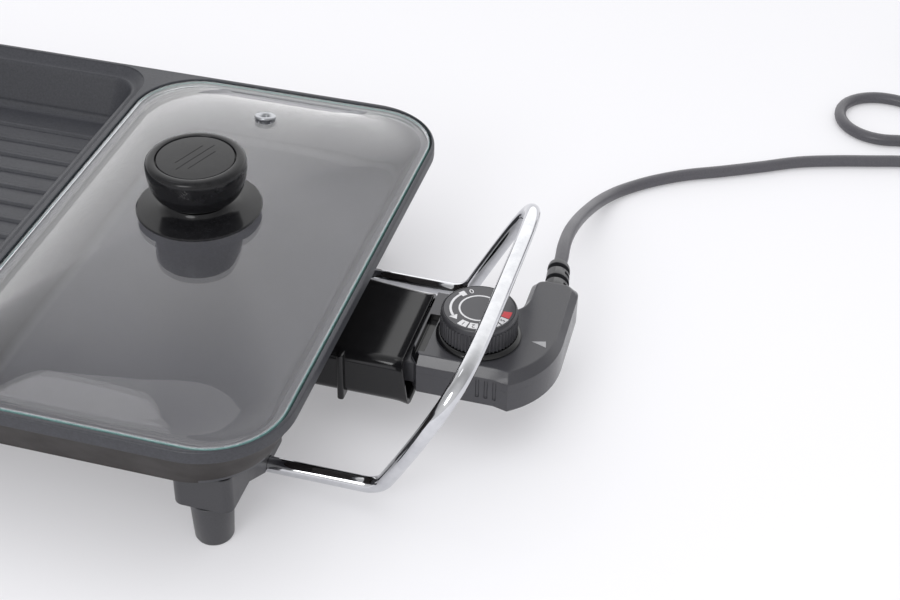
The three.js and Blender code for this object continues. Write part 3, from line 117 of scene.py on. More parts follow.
def block(x0, x1, y0, y1, z0, z1):
    """A box between the given planes."""
    bm = bmesh.new()
    corners = bmesh.ops.create_cube(bm, size=1)["verts"]
    bmesh.ops.scale(bm, vec=(x1 - x0, y1 - y0, z1 - z0), verts=corners)
    middle = ((x0 + x1) / 2, (y0 + y1) / 2, (z0 + z1) / 2)
    bmesh.ops.translate(bm, vec=middle, verts=corners)
    return bm


def lathe(profile, steps=72, rounding=0.0, segments=2):
    """Turns a profile of (radius, height) about the Z axis."""
    bm = bmesh.new()
    verts = [bm.verts.new((radius, 0, z)) for radius, z in profile]
    edges = [bm.edges.new(pair) for pair in zip(verts, verts[1:])]
    bmesh.ops.spin(
        bm,
        geom=verts + edges,
        cent=(0, 0, 0),
        axis=(0, 0, 1),
        angle=math.tau,
        steps=steps,
        use_merge=True,
        use_duplicate=False,
    )
    bmesh.ops.remove_doubles(bm, verts=bm.verts, dist=WELD)
    bmesh.ops.recalc_face_normals(bm, faces=bm.faces)
    if rounding:
        soften(bm, rounding, segments)
    return bm


def pipe(radius, inner, low, high, steps=48, rounding=0.0):
    """A tube that stands on the Z axis."""
    return lathe(
        [(inner, low), (radius, low), (radius, high), (inner, high), (inner, low)],
        steps,
        rounding,
    )


def peg(radius, low, high, steps=40, rounding=0.0):
    """A solid cylinder on the Z axis."""
    return lathe([(0, low), (radius, low), (radius, high), (0, high)], steps, rounding)


def turn(bm, angle, axis):
    """Turns a shape about an axis through the origin."""
    bmesh.ops.rotate(bm, verts=bm.verts, cent=(0, 0, 0), matrix=Matrix.Rotation(angle, 3, axis))
    return bm


def shift(bm, x=0.0, y=0.0, z=0.0):
    """Moves a shape."""
    bmesh.ops.translate(bm, verts=bm.verts, vec=(x, y, z))
    return bm


def along_x(bm, x=0.0, y=0.0, z=0.0):
    """Lays a shape that was turned about Z along X and puts it in place."""
    return shift(turn(bm, QUARTER, "Y"), x, y, z)


def rounded_face(bm, half_x, half_y, radius, z, x=0.0, y=0.0, steps=10):
    """One flat face: a rectangle with rounded corners."""
    verts = bmesh.ops.create_grid(bm, x_segments=1, y_segments=1, size=1)["verts"]
    bmesh.ops.scale(bm, vec=(half_x, half_y, 1), verts=verts)
    bmesh.ops.translate(bm, vec=(x, y, z), verts=verts)
    made = bmesh.ops.bevel(
        bm,
        geom=verts,
        offset=radius,
        offset_type="OFFSET",
        segments=steps,
        profile=0.5,
        affect="VERTICES",
        material=-1,
        clamp_overlap=False,
    )
    return made["verts"][0].link_faces[0]


def loft(rings, steps=10):
    """A closed skin through rounded rectangles: half length, half width, radius, height, x, y."""
    bm = bmesh.new()
    faces = [rounded_face(bm, *ring, steps=steps) for ring in rings]
    loops = [list(face.verts) for face in faces]
    for inner in faces[1:-1]:
        bm.faces.remove(inner)
    for low, high in zip(loops, loops[1:]):
        for n in range(len(low)):
            bm.faces.new((low[n - 1], low[n], high[n], high[n - 1]))
    bmesh.ops.recalc_face_normals(bm, faces=bm.faces)
    return bm


def outline_solid(points, low, high):
    """A flat outline of (x, y) points, raised between two heights."""
    bm = bmesh.new()
    face = bm.faces.new([bm.verts.new((x, y, low)) for x, y in points])
    raised = bmesh.ops.extrude_face_region(bm, geom=[face])["geom"]
    tops = [part for part in raised if isinstance(part, bmesh.types.BMVert)]
    bmesh.ops.translate(bm, vec=(0, 0, high - low), verts=tops)
    bmesh.ops.recalc_face_normals(bm, faces=bm.faces)
    return bm


def in_metres(outline, x=0.0, z=0.0):
    """An outline drawn in millimetres, in metres and moved to its place."""
    return [(x + a * MM, z + b * MM) for a, b in outline]


def mirrored(bm, axis):
    """Mirrors a shape across a plane through the origin."""
    factor = [-1 if name == axis else 1 for name in "XYZ"]
    bmesh.ops.scale(bm, vec=factor, verts=bm.verts)
    bmesh.ops.reverse_faces(bm, faces=bm.faces)
    return bm


def joined(bm, *others):
    """Puts separate shells into one mesh."""
    for other in others:
        mesh = bpy.data.meshes.new("joining")
        other.to_mesh(mesh)
        bm.from_mesh(mesh)
        bpy.data.meshes.remove(mesh)
        other.free()
    return bm


def loose_object(bm):
    """An object that lasts only for one working step."""
    mesh = bpy.data.meshes.new("working")
    bm.to_mesh(mesh)
    bm.free()
    helper = bpy.data.objects.new("working", mesh)
    bpy.context.collection.objects.link(helper)
    return helper


def carved(bm, cuts=(), adds=()):
    """One solid after pieces are added to it and cut out of it, one at a time."""
    for operation, shapes in (("UNION", adds), ("DIFFERENCE", cuts)):
        for shape in shapes:
            target, helper = loose_object(bm), loose_object(shape)
            step = target.modifiers.new(operation, "BOOLEAN")
            step.operation = operation
            step.object = helper
            step.solver = "EXACT"
            bm = bmesh.new()
            bm.from_object(target, bpy.context.evaluated_depsgraph_get())
            for used in (target, helper):
                mesh = used.data
                bpy.data.objects.remove(used)
                bpy.data.meshes.remove(mesh)
            bmesh.ops.remove_doubles(bm, verts=bm.verts, dist=WELD)
    return bm


def curve_mesh(curve):
    """The solid mesh of a curve or of a piece of text; the curve itself is removed."""
    helper = bpy.data.objects.new("working", curve)
    bpy.context.collection.objects.link(helper)
    graph = bpy.context.evaluated_depsgraph_get()
    mesh = bpy.data.meshes.new_from_object(helper.evaluated_get(graph))
    result = bmesh.new()
    result.from_mesh(mesh)
    bpy.data.objects.remove(helper)
    bpy.data.meshes.remove(mesh)
    bmesh.ops.remove_doubles(result, verts=result.verts, dist=WELD / 10)
    bmesh.ops.recalc_face_normals(result, faces=result.faces)
    return result


def round_curve(name, points, radius, sides):
    """A round curve along a line of points."""
    curve = bpy.data.curves.new(name, "CURVE")
    curve.dimensions = "3D"
    curve.bevel_depth = radius
    curve.bevel_resolution = sides
    curve.use_fill_caps = True
    spline = curve.splines.new("POLY")
    spline.points.add(len(points) - 1)
    for point, place in zip(spline.points, points):
        point.co = (*place, 1)
    spline.use_smooth = True
    return curve


def tube_mesh(points, radius, sides):
    """A round tube along a line of points."""
    return curve_mesh(round_curve("working", points, radius, sides))


def paint(bm, index, test):
    """Gives the faces whose middle passes a test the finish with that number."""
    for face in bm.faces:
        if test(face):
            face.material_index = index
    return bm


def finish_piece(name, bm, body, slot, finishes, nodes=(), sharp=32):
    """Makes the object, shades it, hangs it on the body it rides on and hides the model's parts that it
    takes the place of.
    """
    shift(bm, TRAY_END)
    mesh = bpy.data.meshes.new(name)
    bm.to_mesh(mesh)
    bm.free()
    for finish in finishes:
        mesh.materials.append(FINISH[finish])
    mesh.shade_smooth()
    mesh.set_sharp_from_angle(angle=math.radians(sharp))
    piece = bpy.data.objects.new(name, mesh)
    bpy.context.collection.objects.link(piece)
    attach(piece, body)
    if nodes:
        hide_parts(*nodes)
    return piece


def weighted(piece):
    """Keeps broad flat faces looking flat beside rounded edges."""
    step = piece.modifiers.new("even shading", "WEIGHTED_NORMAL")
    step.keep_sharp = True


def rounded_run(corners, radius, steps=10):
    """Straight stretches between corners, with an arc at each inner corner."""
    most_share = 0.49
    stations = [corners[0]]
    for before, corner, after in zip(corners, corners[1:], corners[2:]):
        back = (before - corner).normalized()
        ahead = (after - corner).normalized()
        half = back.angle(ahead) / 2
        shorter = min((before - corner).length, (after - corner).length)
        reach = min(radius / math.tan(half), shorter * most_share)
        hub = corner + (back + ahead).normalized() * (reach / math.cos(half))
        start = corner + back * reach - hub
        end = corner + ahead * reach - hub
        axis = start.cross(end).normalized()
        sweep = start.angle(end)
        for step in range(steps + 1):
            turned = Matrix.Rotation(sweep * step / steps, 3, axis) @ start
            stations.append(hub + turned)
    stations.append(corners[-1])
    return stations


def bezier_point(a, b, c, d, t):
    """The point at share t of a cubic curve."""
    u = 1 - t
    return a * u**3 + b * (3 * u * u * t) + c * (3 * u * t * t) + d * t**3


# Materials


def srgb(code):
    """An sRGB hex value as the linear colour that shaders take."""
    parts = [int(code[i : i + 2], 16) / 255 for i in (1, 3, 5)]
    linear = [p / 12.92 if p <= 0.04045 else ((p + 0.055) / 1.055) ** 2.4 for p in parts]
    return (*linear, 1.0)


def add_node(tree, kind, settings=(), links=()):
    """Adds a node, sets its properties and sockets, and links sockets to other nodes' outputs."""
    node = tree.nodes.new(kind)
    for key, value in dict(settings).items():
        if isinstance(key, int) or key in node.inputs:
            node.inputs[key].default_value = value
        else:
            setattr(node, key, value)
    for key, source in dict(links).items():
        tree.links.new(source, node.inputs[key])
    return node


def ramp(tree, source, stops, blend="LINEAR"):
    """A colour ramp through (position, colour) stops."""
    node = add_node(tree, "ShaderNodeValToRGB", links={"Fac": source})
    node.color_ramp.interpolation = blend
    elements = node.color_ramp.elements
    while len(elements) < len(stops):
        elements.new(0.5)
    for element, (position, colour) in zip(elements, stops):
        element.position = position
        element.color = colour
    return node.outputs["Color"]


def blank_material(name):
    """A material with no nodes yet, and its node tree."""
    made = bpy.data.materials.new(name)
    made.use_nodes = True
    made.node_tree.nodes.clear()
    FINISH[name] = made
    return made.node_tree


def surface(name, dark, light, grain, rough, relief, **shader):
    """A finish whose colour, gloss and relief vary with a grain; grain and relief are in mm.

    Real grain is often finer than this. It is drawn a little coarser, so that it shows.
    """
    tree = blank_material(name)
    cloud_grains = 24
    low, high = 0.3, 0.7
    place = add_node(tree, "ShaderNodeTexCoord").outputs["Object"]
    grains = add_node(
        tree,
        "ShaderNodeTexNoise",
        {"Scale": 1 / (grain * MM), "Detail": 3.0, "Roughness": 0.6},
        {"Vector": place},
    ).outputs["Fac"]
    cloud = add_node(
        tree,
        "ShaderNodeTexNoise",
        {"Scale": 1 / (grain * MM * cloud_grains), "Detail": 2.0},
        {"Vector": place},
    ).outputs["Fac"]
    colour = ramp(tree, grains, [(low, srgb(dark)), (high, srgb(light))])
    gloss = add_node(
        tree,
        "ShaderNodeMapRange",
        {"From Min": low, "From Max": high, "To Min": rough[0], "To Max": rough[1]},
        {"Value": cloud},
    ).outputs["Result"]
    bumps = add_node(
        tree,
        "ShaderNodeBump",
        {"Strength": 0.6, "Distance": relief * MM},
        {"Height": grains},
    ).outputs["Normal"]
    main = add_node(
        tree,
        "ShaderNodeBsdfPrincipled",
        shader,
        {"Base Color": colour, "Roughness": gloss, "Normal": bumps},
    )
    add_node(tree, "ShaderNodeOutputMaterial", links={"Surface": main.outputs["BSDF"]})


def metal(name, dark, light, grain, rough, relief):
    """A bare or plated metal, with the default index of refraction."""
    surface(name, dark, light, grain, rough, relief, Metallic=1.0)


def make_finishes():
    """Every finish, named for the material and how it was worked; the tray's outer coating is named for
    the painted shade it carries.
    """
    dull, duller = {"Specular IOR Level": 0.3}, {"Specular IOR Level": 0.2}
    # Die-cast aluminium sprayed with a dark non-stick coating: faint pale specks, low gloss
    surface("sprayed_nonstick", "#2e2f34", "#3a3b41", grain=1.1, rough=(0.42, 0.5), relief=0.008)
    # The same non-stick coating on the outer wall and the underside, drawn warmer, darker and duller: a
    # shaded copy of the inside coating, painted shade
    surface("nonstick_painted_shade", "#252120", "#2d2928", 0.7, (0.46, 0.56), 0.03, **duller)
    # Phenolic socket and ring, compression moulded: near black, high gloss
    surface("phenolic_gloss", "#0f0f11", "#161618", grain=4, rough=(0.1, 0.16), relief=0.004)
    # The same moulding on the lid's knob, dulled by a finer texture
    surface("phenolic_knob", "#151517", "#1d1d1f", 3, (0.12, 0.18), 0.004, **dull)
    # Moulded glass-filled nylon: dark, satin
    surface("nylon_satin", "#343437", "#3d3d41", grain=0.6, rough=(0.3, 0.38), relief=0.01)
    # Moulded ABS of the thermostat, with a fine spark-eroded grain: dark grey, half gloss
    surface("abs_satin", "#39393d", "#434347", grain=0.4, rough=(0.2, 0.26), relief=0.008)
    # Chromium plate on drawn steel wire: bright, mirror smooth
    metal("chrome_plate", "#c8c9cd", "#d5d6d9", grain=6, rough=(0.03, 0.06), relief=0.002)
    # Rolled steel, zinc plated: pale grey, satin
    metal("plated_steel", "#9a9ca0", "#b4b6ba", grain=0.8, rough=(0.26, 0.36), relief=0.006)
    # Steel sheath of the element, oxidised by heat: brownish grey, dull
    metal("oxidised_steel", "#5b564f", "#77716a", grain=1.2, rough=(0.4, 0.52), relief=0.01)
    # Turned brass: yellow, satin
    metal("turned_brass", "#b0924f", "#c4a763", grain=1, rough=(0.24, 0.32), relief=0.004)
    # Nickel plate of pins: warm grey, half gloss
    metal("nickel_plate", "#b8b5ad", "#c9c6bf", grain=1, rough=(0.14, 0.22), relief=0.004)
    # Extruded rubber of the mains cord: dark grey with a faint bloom
    surface("cord_rubber", "#49484d", "#555459", grain=0.9, rough=(0.34, 0.42), relief=0.02)
    # Moulded silicone washer: mid grey, matt
    surface("silicone", "#77777c", "#828287", grain=1, rough=(0.5, 0.6), relief=0.01)
    # Soft PVC of the strain relief, moulded: near black, half gloss
    surface("soft_pvc", "#28282b", "#303033", grain=2, rough=(0.26, 0.32), relief=0.006)
    # Pressed and fired ceramic: off white, matt
    surface("pressed_ceramic", "#cfc9bb", "#ddd8cc", grain=0.7, rough=(0.5, 0.6), relief=0.02)
    # Pad-printed inks: flat colour, matt
    surface("white_ink", "#c9c9cc", "#d4d4d7", grain=0.5, rough=(0.45, 0.5), relief=0.004)
    surface("grey_ink", "#98989b", "#a2a2a5", grain=0.5, rough=(0.4, 0.45), relief=0.004)
    surface("red_ink", "#b8343c", "#c9444b", grain=0.5, rough=(0.45, 0.5), relief=0.004)
    surface("dark_ink", "#2b2b2e", "#343437", grain=0.5, rough=(0.45, 0.5), relief=0.004)
    make_glass()
    make_glass_edge()


def make_glass():
    """Pressed soda-lime glass, tempered: clear and smooth. Lamplight passes to the food."""
    tree = blank_material("pressed_glass")
    haze_size = 40
    place = add_node(tree, "ShaderNodeTexCoord").outputs["Object"]
    haze = add_node(
        tree,
        "ShaderNodeTexNoise",
        {"Scale": 1 / (haze_size * MM), "Detail": 2.0},
        {"Vector": place},
    ).outputs["Fac"]
    tint = ramp(tree, haze, [(0.3, srgb("#f6f5f8")), (0.7, srgb("#f9f8fa"))])
    main = add_node(
        tree,
        "ShaderNodeBsdfPrincipled",
        {"Roughness": 0.0, "IOR": 1.5, "Transmission Weight": 1.0},
        {"Base Color": tint},
    )
    clear = add_node(tree, "ShaderNodeBsdfTransparent", {"Color": srgb("#f3f5f5")})
    shadow = add_node(tree, "ShaderNodeLightPath").outputs["Is Shadow Ray"]
    mixed = add_node(
        tree,
        "ShaderNodeMixShader",
        links={0: shadow, 1: main.outputs["BSDF"], 2: clear.outputs["BSDF"]},
    )
    add_node(tree, "ShaderNodeOutputMaterial", links={"Surface": mixed.outputs["Shader"]})


def make_glass_edge():
    """The ground edge of the same glass, where its green shows."""
    tree = blank_material("glass_edge")
    grit_size = 1 / 0.9
    place = add_node(tree, "ShaderNodeTexCoord").outputs["Object"]
    grit = add_node(
        tree,
        "ShaderNodeTexNoise",
        {"Scale": 1 / (grit_size * MM), "Detail": 2.0},
        {"Vector": place},
    ).outputs["Fac"]
    colour = ramp(tree, grit, [(0.3, srgb("#6b9492")), (0.7, srgb("#83a9a6"))])
    main = add_node(
        tree,
        "ShaderNodeBsdfPrincipled",
        {"Roughness": 0.25, "IOR": 1.5, "Transmission Weight": 0.35},
        {"Base Color": colour},
    )
    add_node(tree, "ShaderNodeOutputMaterial", links={"Surface": main.outputs["BSDF"]})


# Sizes a user would change


def length(name, description, default):
    """A size in metres."""
    return FloatProperty(name=name, description=description, default=default, unit="LENGTH")


class TraySizes(bpy.types.PropertyGroup):
    corner: length("Corner radius", "Radius of the tray's corners", 0.042)
    band: length("Band", "Height of the upright band below the rim", 0.0067)
    proud: length("Band step", "How far the band stands proud of the wall", 0.0008)
    lean: length("Wall lean", "How far the outer wall leans in", 0.0117)
    depth: length("Depth", "From the rim down to the underside", 0.0325)
    lip: length("Lip", "Flat top of the rim along a well's sides", 0.0028)
    end_lip: length("End lip", "Flat top of the rim at the tray's ends", 0.0022)
    divider: length("Divider", "Flat top between the wells", 0.0031)
    pot: length("Pot well", "Length of the smooth well", 0.1727)
    seat_radius: length("Seat radius", "Corner radius of the pot well", 0.036)
    grill_radius: length("Grill radius", "Corner radius of the grill well", 0.021)
    grill_lean: length("Grill recess lean", "Slope of the grill well's recess", 0.0046)
    seat: length("Seat depth", "Depth of the recess for the lid", 0.0046)
    ledge: length("Ledge", "Width of the ledge below the recess", 0.007)
    wall_lean: length("Well lean", "How far a well's wall leans in", 0.0095)
    floor_round: length("Floor rounding", "Rounding from wall to floor", 0.005)
    floor: length("Floor", "Thickness of the floor", 0.0035)
    rib_pitch: length("Rib pitch", "From rib to rib", 0.0147)
    rib_width: length("Rib width", "Width of one rib", 0.0042)
    rib_height: length("Rib height", "Height of one rib", 0.0015)
    ribs: IntProperty(name="Ribs", description="Number of ribs in the grill well", default=16)


class ElementSizes(bpy.types.PropertyGroup):
    tube: length("Tube", "Thickness of the heating tube", 0.0065)
    pin_z: length("Pin height", "Height of the two contact pins", 0.0362)
    pin_y: length("Pin spacing", "From the middle to one contact pin", 0.013)
    probe_z: length("Probe height", "Height of the probe's centre line", 0.0375)


class BracketSizes(bpy.types.PropertyGroup):
    from_end: length("From the end", "From the tray's end to a foot's axis", 0.040)
    from_side: length("From the side", "From the tray's side to a foot's axis", 0.032)
    right: length("Right", "From the foot's axis to the bracket's outer side", 0.0134)
    width: length("Width", "Width of one bracket", 0.029)
    front: length("Front", "From the foot's axis to the bracket's front", 0.0098)
    span: length("Span", "From the bracket's front to its back", 0.0698)
    base: length("Base", "Height of the end that holds the foot", 0.0243)
    clamp: length("Clamp", "Height of the end that holds the handle", 0.0115)
    wire_y: length("Wire", "From the foot's axis to the handle's leg", 0.0382)
    boss_y: length("Boss", "From the foot's axis to the tray's screw boss", 0.0189)
    boss: length("Boss radius", "Radius of the tray's screw boss", 0.0055)
    peg: length("Peg radius", "Radius of the peg on the foot", 0.004)


class HandleSizes(bpy.types.PropertyGroup):
    wire: length("Wire", "Thickness of the wire", 0.008)
    leg_y: length("Leg", "From the middle to a leg's centre line", 0.0798)
    leg_z: length("Leg height", "Height of a leg's centre line", 0.0132)
    reach: length("Reach", "From the tray's end to the corner of the wire", 0.029)
    inside: length("Inside", "How far a leg runs in under the tray", 0.0536)
    rise: length("Rise", "Length of the leaning arch", 0.0833)
    bend: length("Bend", "Bend radius where a leg turns up", 0.013)
    tilt: FloatProperty(
        name="Tilt",
        description="How far the arch leans out from upright",
        default=math.radians(28),
        subtype="ANGLE",
    )


class SocketSizes(bpy.types.PropertyGroup):
    half: length("Half width", "From the middle to the side at the mouth", 0.0306)
    base: length("Base", "Height of the underside", 0.0208)
    rear: length("Rear", "How far the socket reaches in under the tray", 0.026)
    mouth: length("Mouth", "How far the mouth stands out from the tray's end", 0.0262)
    wall: length("Wall", "Thickness of the wall", 0.0027)
    corner: length("Corner", "Radius of the long edges", 0.0052)
    aside: length("Aside", "How far the socket's middle lies behind the pins", 0.0015)
    screw_y: length("Screw", "From the middle to a screw of the socket", 0.022)
    slant: length("Slant", "How far the mouth's foot stands out past its middle", 0.0016)
    splay: FloatProperty(
        name="Splay",
        description="How much the back widens for each unit of length towards the rear",
        default=0.055,
    )


class LidSizes(bpy.types.PropertyGroup):
    gap: length("Edge gap", "Between the glass and the lip round it", 0.0009)
    thickness: length("Glass", "Thickness of the glass", 0.0038)
    flange: length("Border", "Flat border of the glass", 0.0065)
    rise: length("Rise", "From the border up to the middle", 0.0176)
    guard: length("Guard", "Radius of the knob's heat guard", 0.0312)
    grip: length("Grip", "Radius of the knob's grip", 0.0246)
    base: length("Knob foot", "Radius of the grip's foot", 0.0162)
    grip_height: length("Grip height", "From the grip's foot to its top", 0.0225)
    vent: length("Vent", "Radius of the hole for the steam vent", 0.0036)


class ControlSizes(bpy.types.PropertyGroup):
    low: length("Underside", "Height of the housing's underside", 0.0287)
    high: length("Top", "Height of the housing's top", 0.0505)
    split: length("Seam", "Height of the seam and of the cord", 0.041)
    wall: length("Wall", "Thickness of the housing's wall", 0.0026)
    edge: length("Bevel", "Width of the bevel round the housing's top", 0.0034)
    left: length("Left end", "From the tray's end to the housing", 0.0263)
    right: length("Right end", "From the tray's end to the housing's far side", 0.0962)
    half: length("Half width", "From the middle to the housing's side", 0.026)
    arm_end: length("Arm", "From the middle to the end of the cord's arm", 0.0563)
    relief_x: length("Cord exit", "From the tray's end to the cord's exit", 0.0829)
    probe: length("Probe", "Radius of the probe", 0.0036)


class DialSizes(bpy.types.PropertyGroup):
    x: length("Axis", "From the tray's end to the dial's axis", 0.0554)
    base: length("Base", "Height of the dial's foot", 0.0539)
    top: length("Top", "Height of the dial's face", 0.0672)
    radius: length("Radius", "Radius over the teeth", 0.0192)
    tooth: length("Tooth", "Depth of the teeth", 0.0006)
    teeth: IntProperty(name="Teeth", description="Number of teeth round the dial", default=60)
    spindle: length("Spindle", "Radius of the spindle's bore", 0.0033)
    ink: length("Ink", "Thickness that the print is drawn with", 0.00006)


class CordSizes(bpy.types.PropertyGroup):
    diameter: length("Diameter", "Thickness of the mains cord", 0.0074)
    coil: length("Coil radius", "Inner radius of the coil's centre line", 0.036)
    spare: length("Spare", "Room between neighbouring turns of the coil", 0.0006)


class StageColours(bpy.types.PropertyGroup):
    floor: FloatVectorProperty(
        name="Floor",
        description="Colour of the floor and the background",
        subtype="COLOR",
        size=4,
        default=srgb("#c4c4c7"),
    )
    glow: FloatProperty(
        name="Glow",
        description="Light that the backlit floor gives off",
        default=0.3,
    )


# Tray


def well_frames(tray):
    """Middle X and length of each well, pot well first."""
    pot_right = -tray.end_lip
    pot_left = pot_right - tray.pot
    grill_right = pot_left - tray.divider
    grill_left = tray.end_lip - TRAY_LENGTH
    return (
        ((pot_left + pot_right) / 2, tray.pot),
        ((grill_left + grill_right) / 2, grill_right - grill_left),
    )


def tray_outside(tray):
    """The casting as a solid block, with its leaning wall and its band."""
    half_x = TRAY_LENGTH / 2
    under = RIM - tray.depth
    band = RIM - tray.band
    foot = tray.proud + tray.lean
    edge = 1.2 * MM
    line = in_metres(((3, 0), (0.9, 0.6), (0, 2.8)), foot, under)
    line += in_metres(((0.2, -0.6), (0, 0)), tray.proud, band)
    line += in_metres(((0.1, 0.1), (0, 0.5)), 0, band)
    line += [(0, RIM - edge)]
    line += [(edge * 0.13, RIM - edge * 0.5), (edge * 0.5, RIM - edge * 0.13), (edge, RIM)]
    rings = []
    for inset, z in line:
        corner = tray.corner - inset / 2
        rings.append((half_x - inset, PLATE_HIGH.y - inset, corner, z, -half_x, 0))
    return loft(rings, 20)


def outer_inset(tray, x, y):
    """How far a point lies inside the tray's rounded outline."""
    half_x = TRAY_LENGTH / 2
    off_x = abs(x + half_x) - half_x + tray.corner
    off_y = abs(y) - PLATE_HIGH.y + tray.corner
    if off_x > 0 and off_y > 0:
        return tray.corner - math.hypot(off_x, off_y)
    return tray.corner - max(off_x, off_y)


def well_cutter(tray, x, size, radius, share, lean):
    """What a well takes out of the casting, rounded at its lip, its ledge and its floor."""
    ledge = RIM - tray.seat
    floor = RIM - tray.depth + tray.floor
    half_y = PLATE_HIGH.y - tray.lip
    foot = tray.ledge + tray.wall_lean
    bend, steps = tray.floor_round, 6
    line = []
    for step in range(steps + 1):
        angle = QUARTER * step / steps
        line.append((foot + bend * (1 - math.sin(angle)), floor + bend * (1 - math.cos(angle))))
    line += in_metres(((0.8, -2.2), (0.1, -0.72), (-0.6, -0.1), (-1.2, 0)), tray.ledge, ledge)
    line += in_metres(((0.9, 0), (0.2, 0.3)), lean, ledge)
    line += in_metres(((0, 1),), lean * 0.78, ledge)
    lip, least_corner = 0.7 * MM, 4 * MM
    line += [(0, RIM - lip), (-lip * 0.13, RIM - lip * 0.5), (-lip * 0.5, RIM - lip * 0.13)]
    line += [(-lip, RIM + WELD * 10), (-lip, RIM + OVERRUN * 2)]
    rings = []
    for inset, z in line:
        corner = max(radius - inset * share, least_corner)
        rings.append((size / 2 - inset, half_y - inset, corner, z, x, 0))
    return loft(rings, 18)


# Share of the half width drawn in, and share of the height, from a rib's foot to its crown
RIB_SHARES = ((0, -1), (0, 0.1), (0.16, 0.5), (0.4, 0.85), (0.7, 1))


def tray_ribs(tray, x, size):
    """The grill well's ribs, each a long rounded bar."""
    floor = RIM - tray.depth + tray.floor
    from_wall, end_share = 2 * MM, 0.94
    half = size / 2 - tray.ledge - tray.wall_lean - tray.floor_round - from_wall
    width = tray.rib_width / 2
    ribs = bmesh.new()
    for number in range(tray.ribs):
        y = (number - (tray.ribs - 1) / 2) * tray.rib_pitch
        rings = []
        for part, rise in RIB_SHARES:
            inset = width * part
            level = floor + rise * tray.rib_height
            rings.append((half - inset, width - inset, (width - inset) * end_share, level, x, y))
        joined(ribs, loft(rings, 5))
    return ribs


def foot_place(bracket, side_x, side_y):
    """A foot's axis, from the tray's right end."""
    x = -bracket.from_end if side_x > 0 else bracket.from_end - TRAY_LENGTH
    return x, side_y * (PLATE_HIGH.y - bracket.from_side)


class GRILL_OT_tray(bpy.types.Operator):
    """Build the die-cast tray with its two wells and its ribs"""

    bl_idname = "grill.tray"
    bl_label = "Tray"

    def execute(self, context):
        tray = context.scene.grill_tray
        bracket = context.scene.grill_bracket
        pot, grill = well_frames(tray)
        under = RIM - tray.depth
        screw, drop, sunk, edge = 2.3 * MM, 9 * MM, 0.5 * MM, 0.6 * MM
        straight_share, leaning_share = 1, 0.75
        cuts = [
            well_cutter(tray, *pot, tray.seat_radius, straight_share, 0),
            well_cutter(tray, *grill, tray.grill_radius, leaning_share, tray.grill_lean),
        ]
        adds = [tray_ribs(tray, *grill)]
        for side_x, side_y in CORNERS:
            x, y = foot_place(bracket, side_x, side_y)
            boss = pipe(bracket.boss, screw, under - drop, under + sunk, 32, edge)
            adds.append(shift(boss, x, y - side_y * bracket.boss_y))
        body = carved(carved(tray_outside(tray), cuts), (), adds)
        band = RIM - tray.band
        skin = 2.5 * MM

        def outside(face):
            middle = face.calc_center_median()
            fall = (band - middle.z) / (band - under)
            if fall < 0.01:
                return False
            wall = tray.proud + tray.lean * fall
            return outer_inset(tray, middle.x, middle.y) < wall + skin or face.normal.z < -0.5

        # The outer wall and the underside take the darker, warmer copy of the coating: painted shade
        paint(body, 1, outside)
        weighted(
            finish_piece(
                "tray_casting",
                body,
                "base",
                "tray_coating",
                ("sprayed_nonstick", "nonstick_painted_shade"),
                ("cooking_plate",),
            )
        )
        return {"FINISHED"}


# Element below the tray


def element_points(element, tray):
    """The element's centre line, from one cold end to the other."""
    run_z = RIM - tray.depth - GAP - element.tube / 2
    far = 76 * MM - TRAY_LENGTH
    outer, inner, cold_x = 98 * MM, 33 * MM, -34 * MM
    cold_bend, bend = 6 * MM, 22 * MM
    side = [
        Vector((cold_x, element.pin_y, element.pin_z)),
        Vector((cold_x - 12 * MM, element.pin_y, element.pin_z)),
        Vector((cold_x - 54 * MM, inner + 16 * MM, run_z)),
        Vector((cold_x - 76 * MM, outer, run_z)),
        Vector((far, outer, run_z)),
        Vector((far, inner, run_z)),
        Vector((cold_x - 116 * MM, inner, run_z)),
    ]
    other = [Vector((p.x, -p.y, p.z)) for p in reversed(side)]
    whole = side + other
    first = rounded_run(whole[:4], cold_bend, 4)
    middle = rounded_run(whole[3:-3], bend, 10)
    last = rounded_run(whole[-4:], cold_bend, 4)
    return first[:-1] + middle + last[1:]


class GRILL_OT_element(bpy.types.Operator):
    """Build the tubular heating element below the floor"""

    bl_idname = "grill.element"
    bl_label = "Heating element"

    def execute(self, context):
        element = context.scene.grill_element
        tube = tube_mesh(element_points(element, context.scene.grill_tray), element.tube / 2, 5)
        finish_piece(
            "heating_tube", tube, "base", "element_steel", ("oxidised_steel",), ("heating_element",)
        )
        return {"FINISHED"}


# Feet, brackets and handles


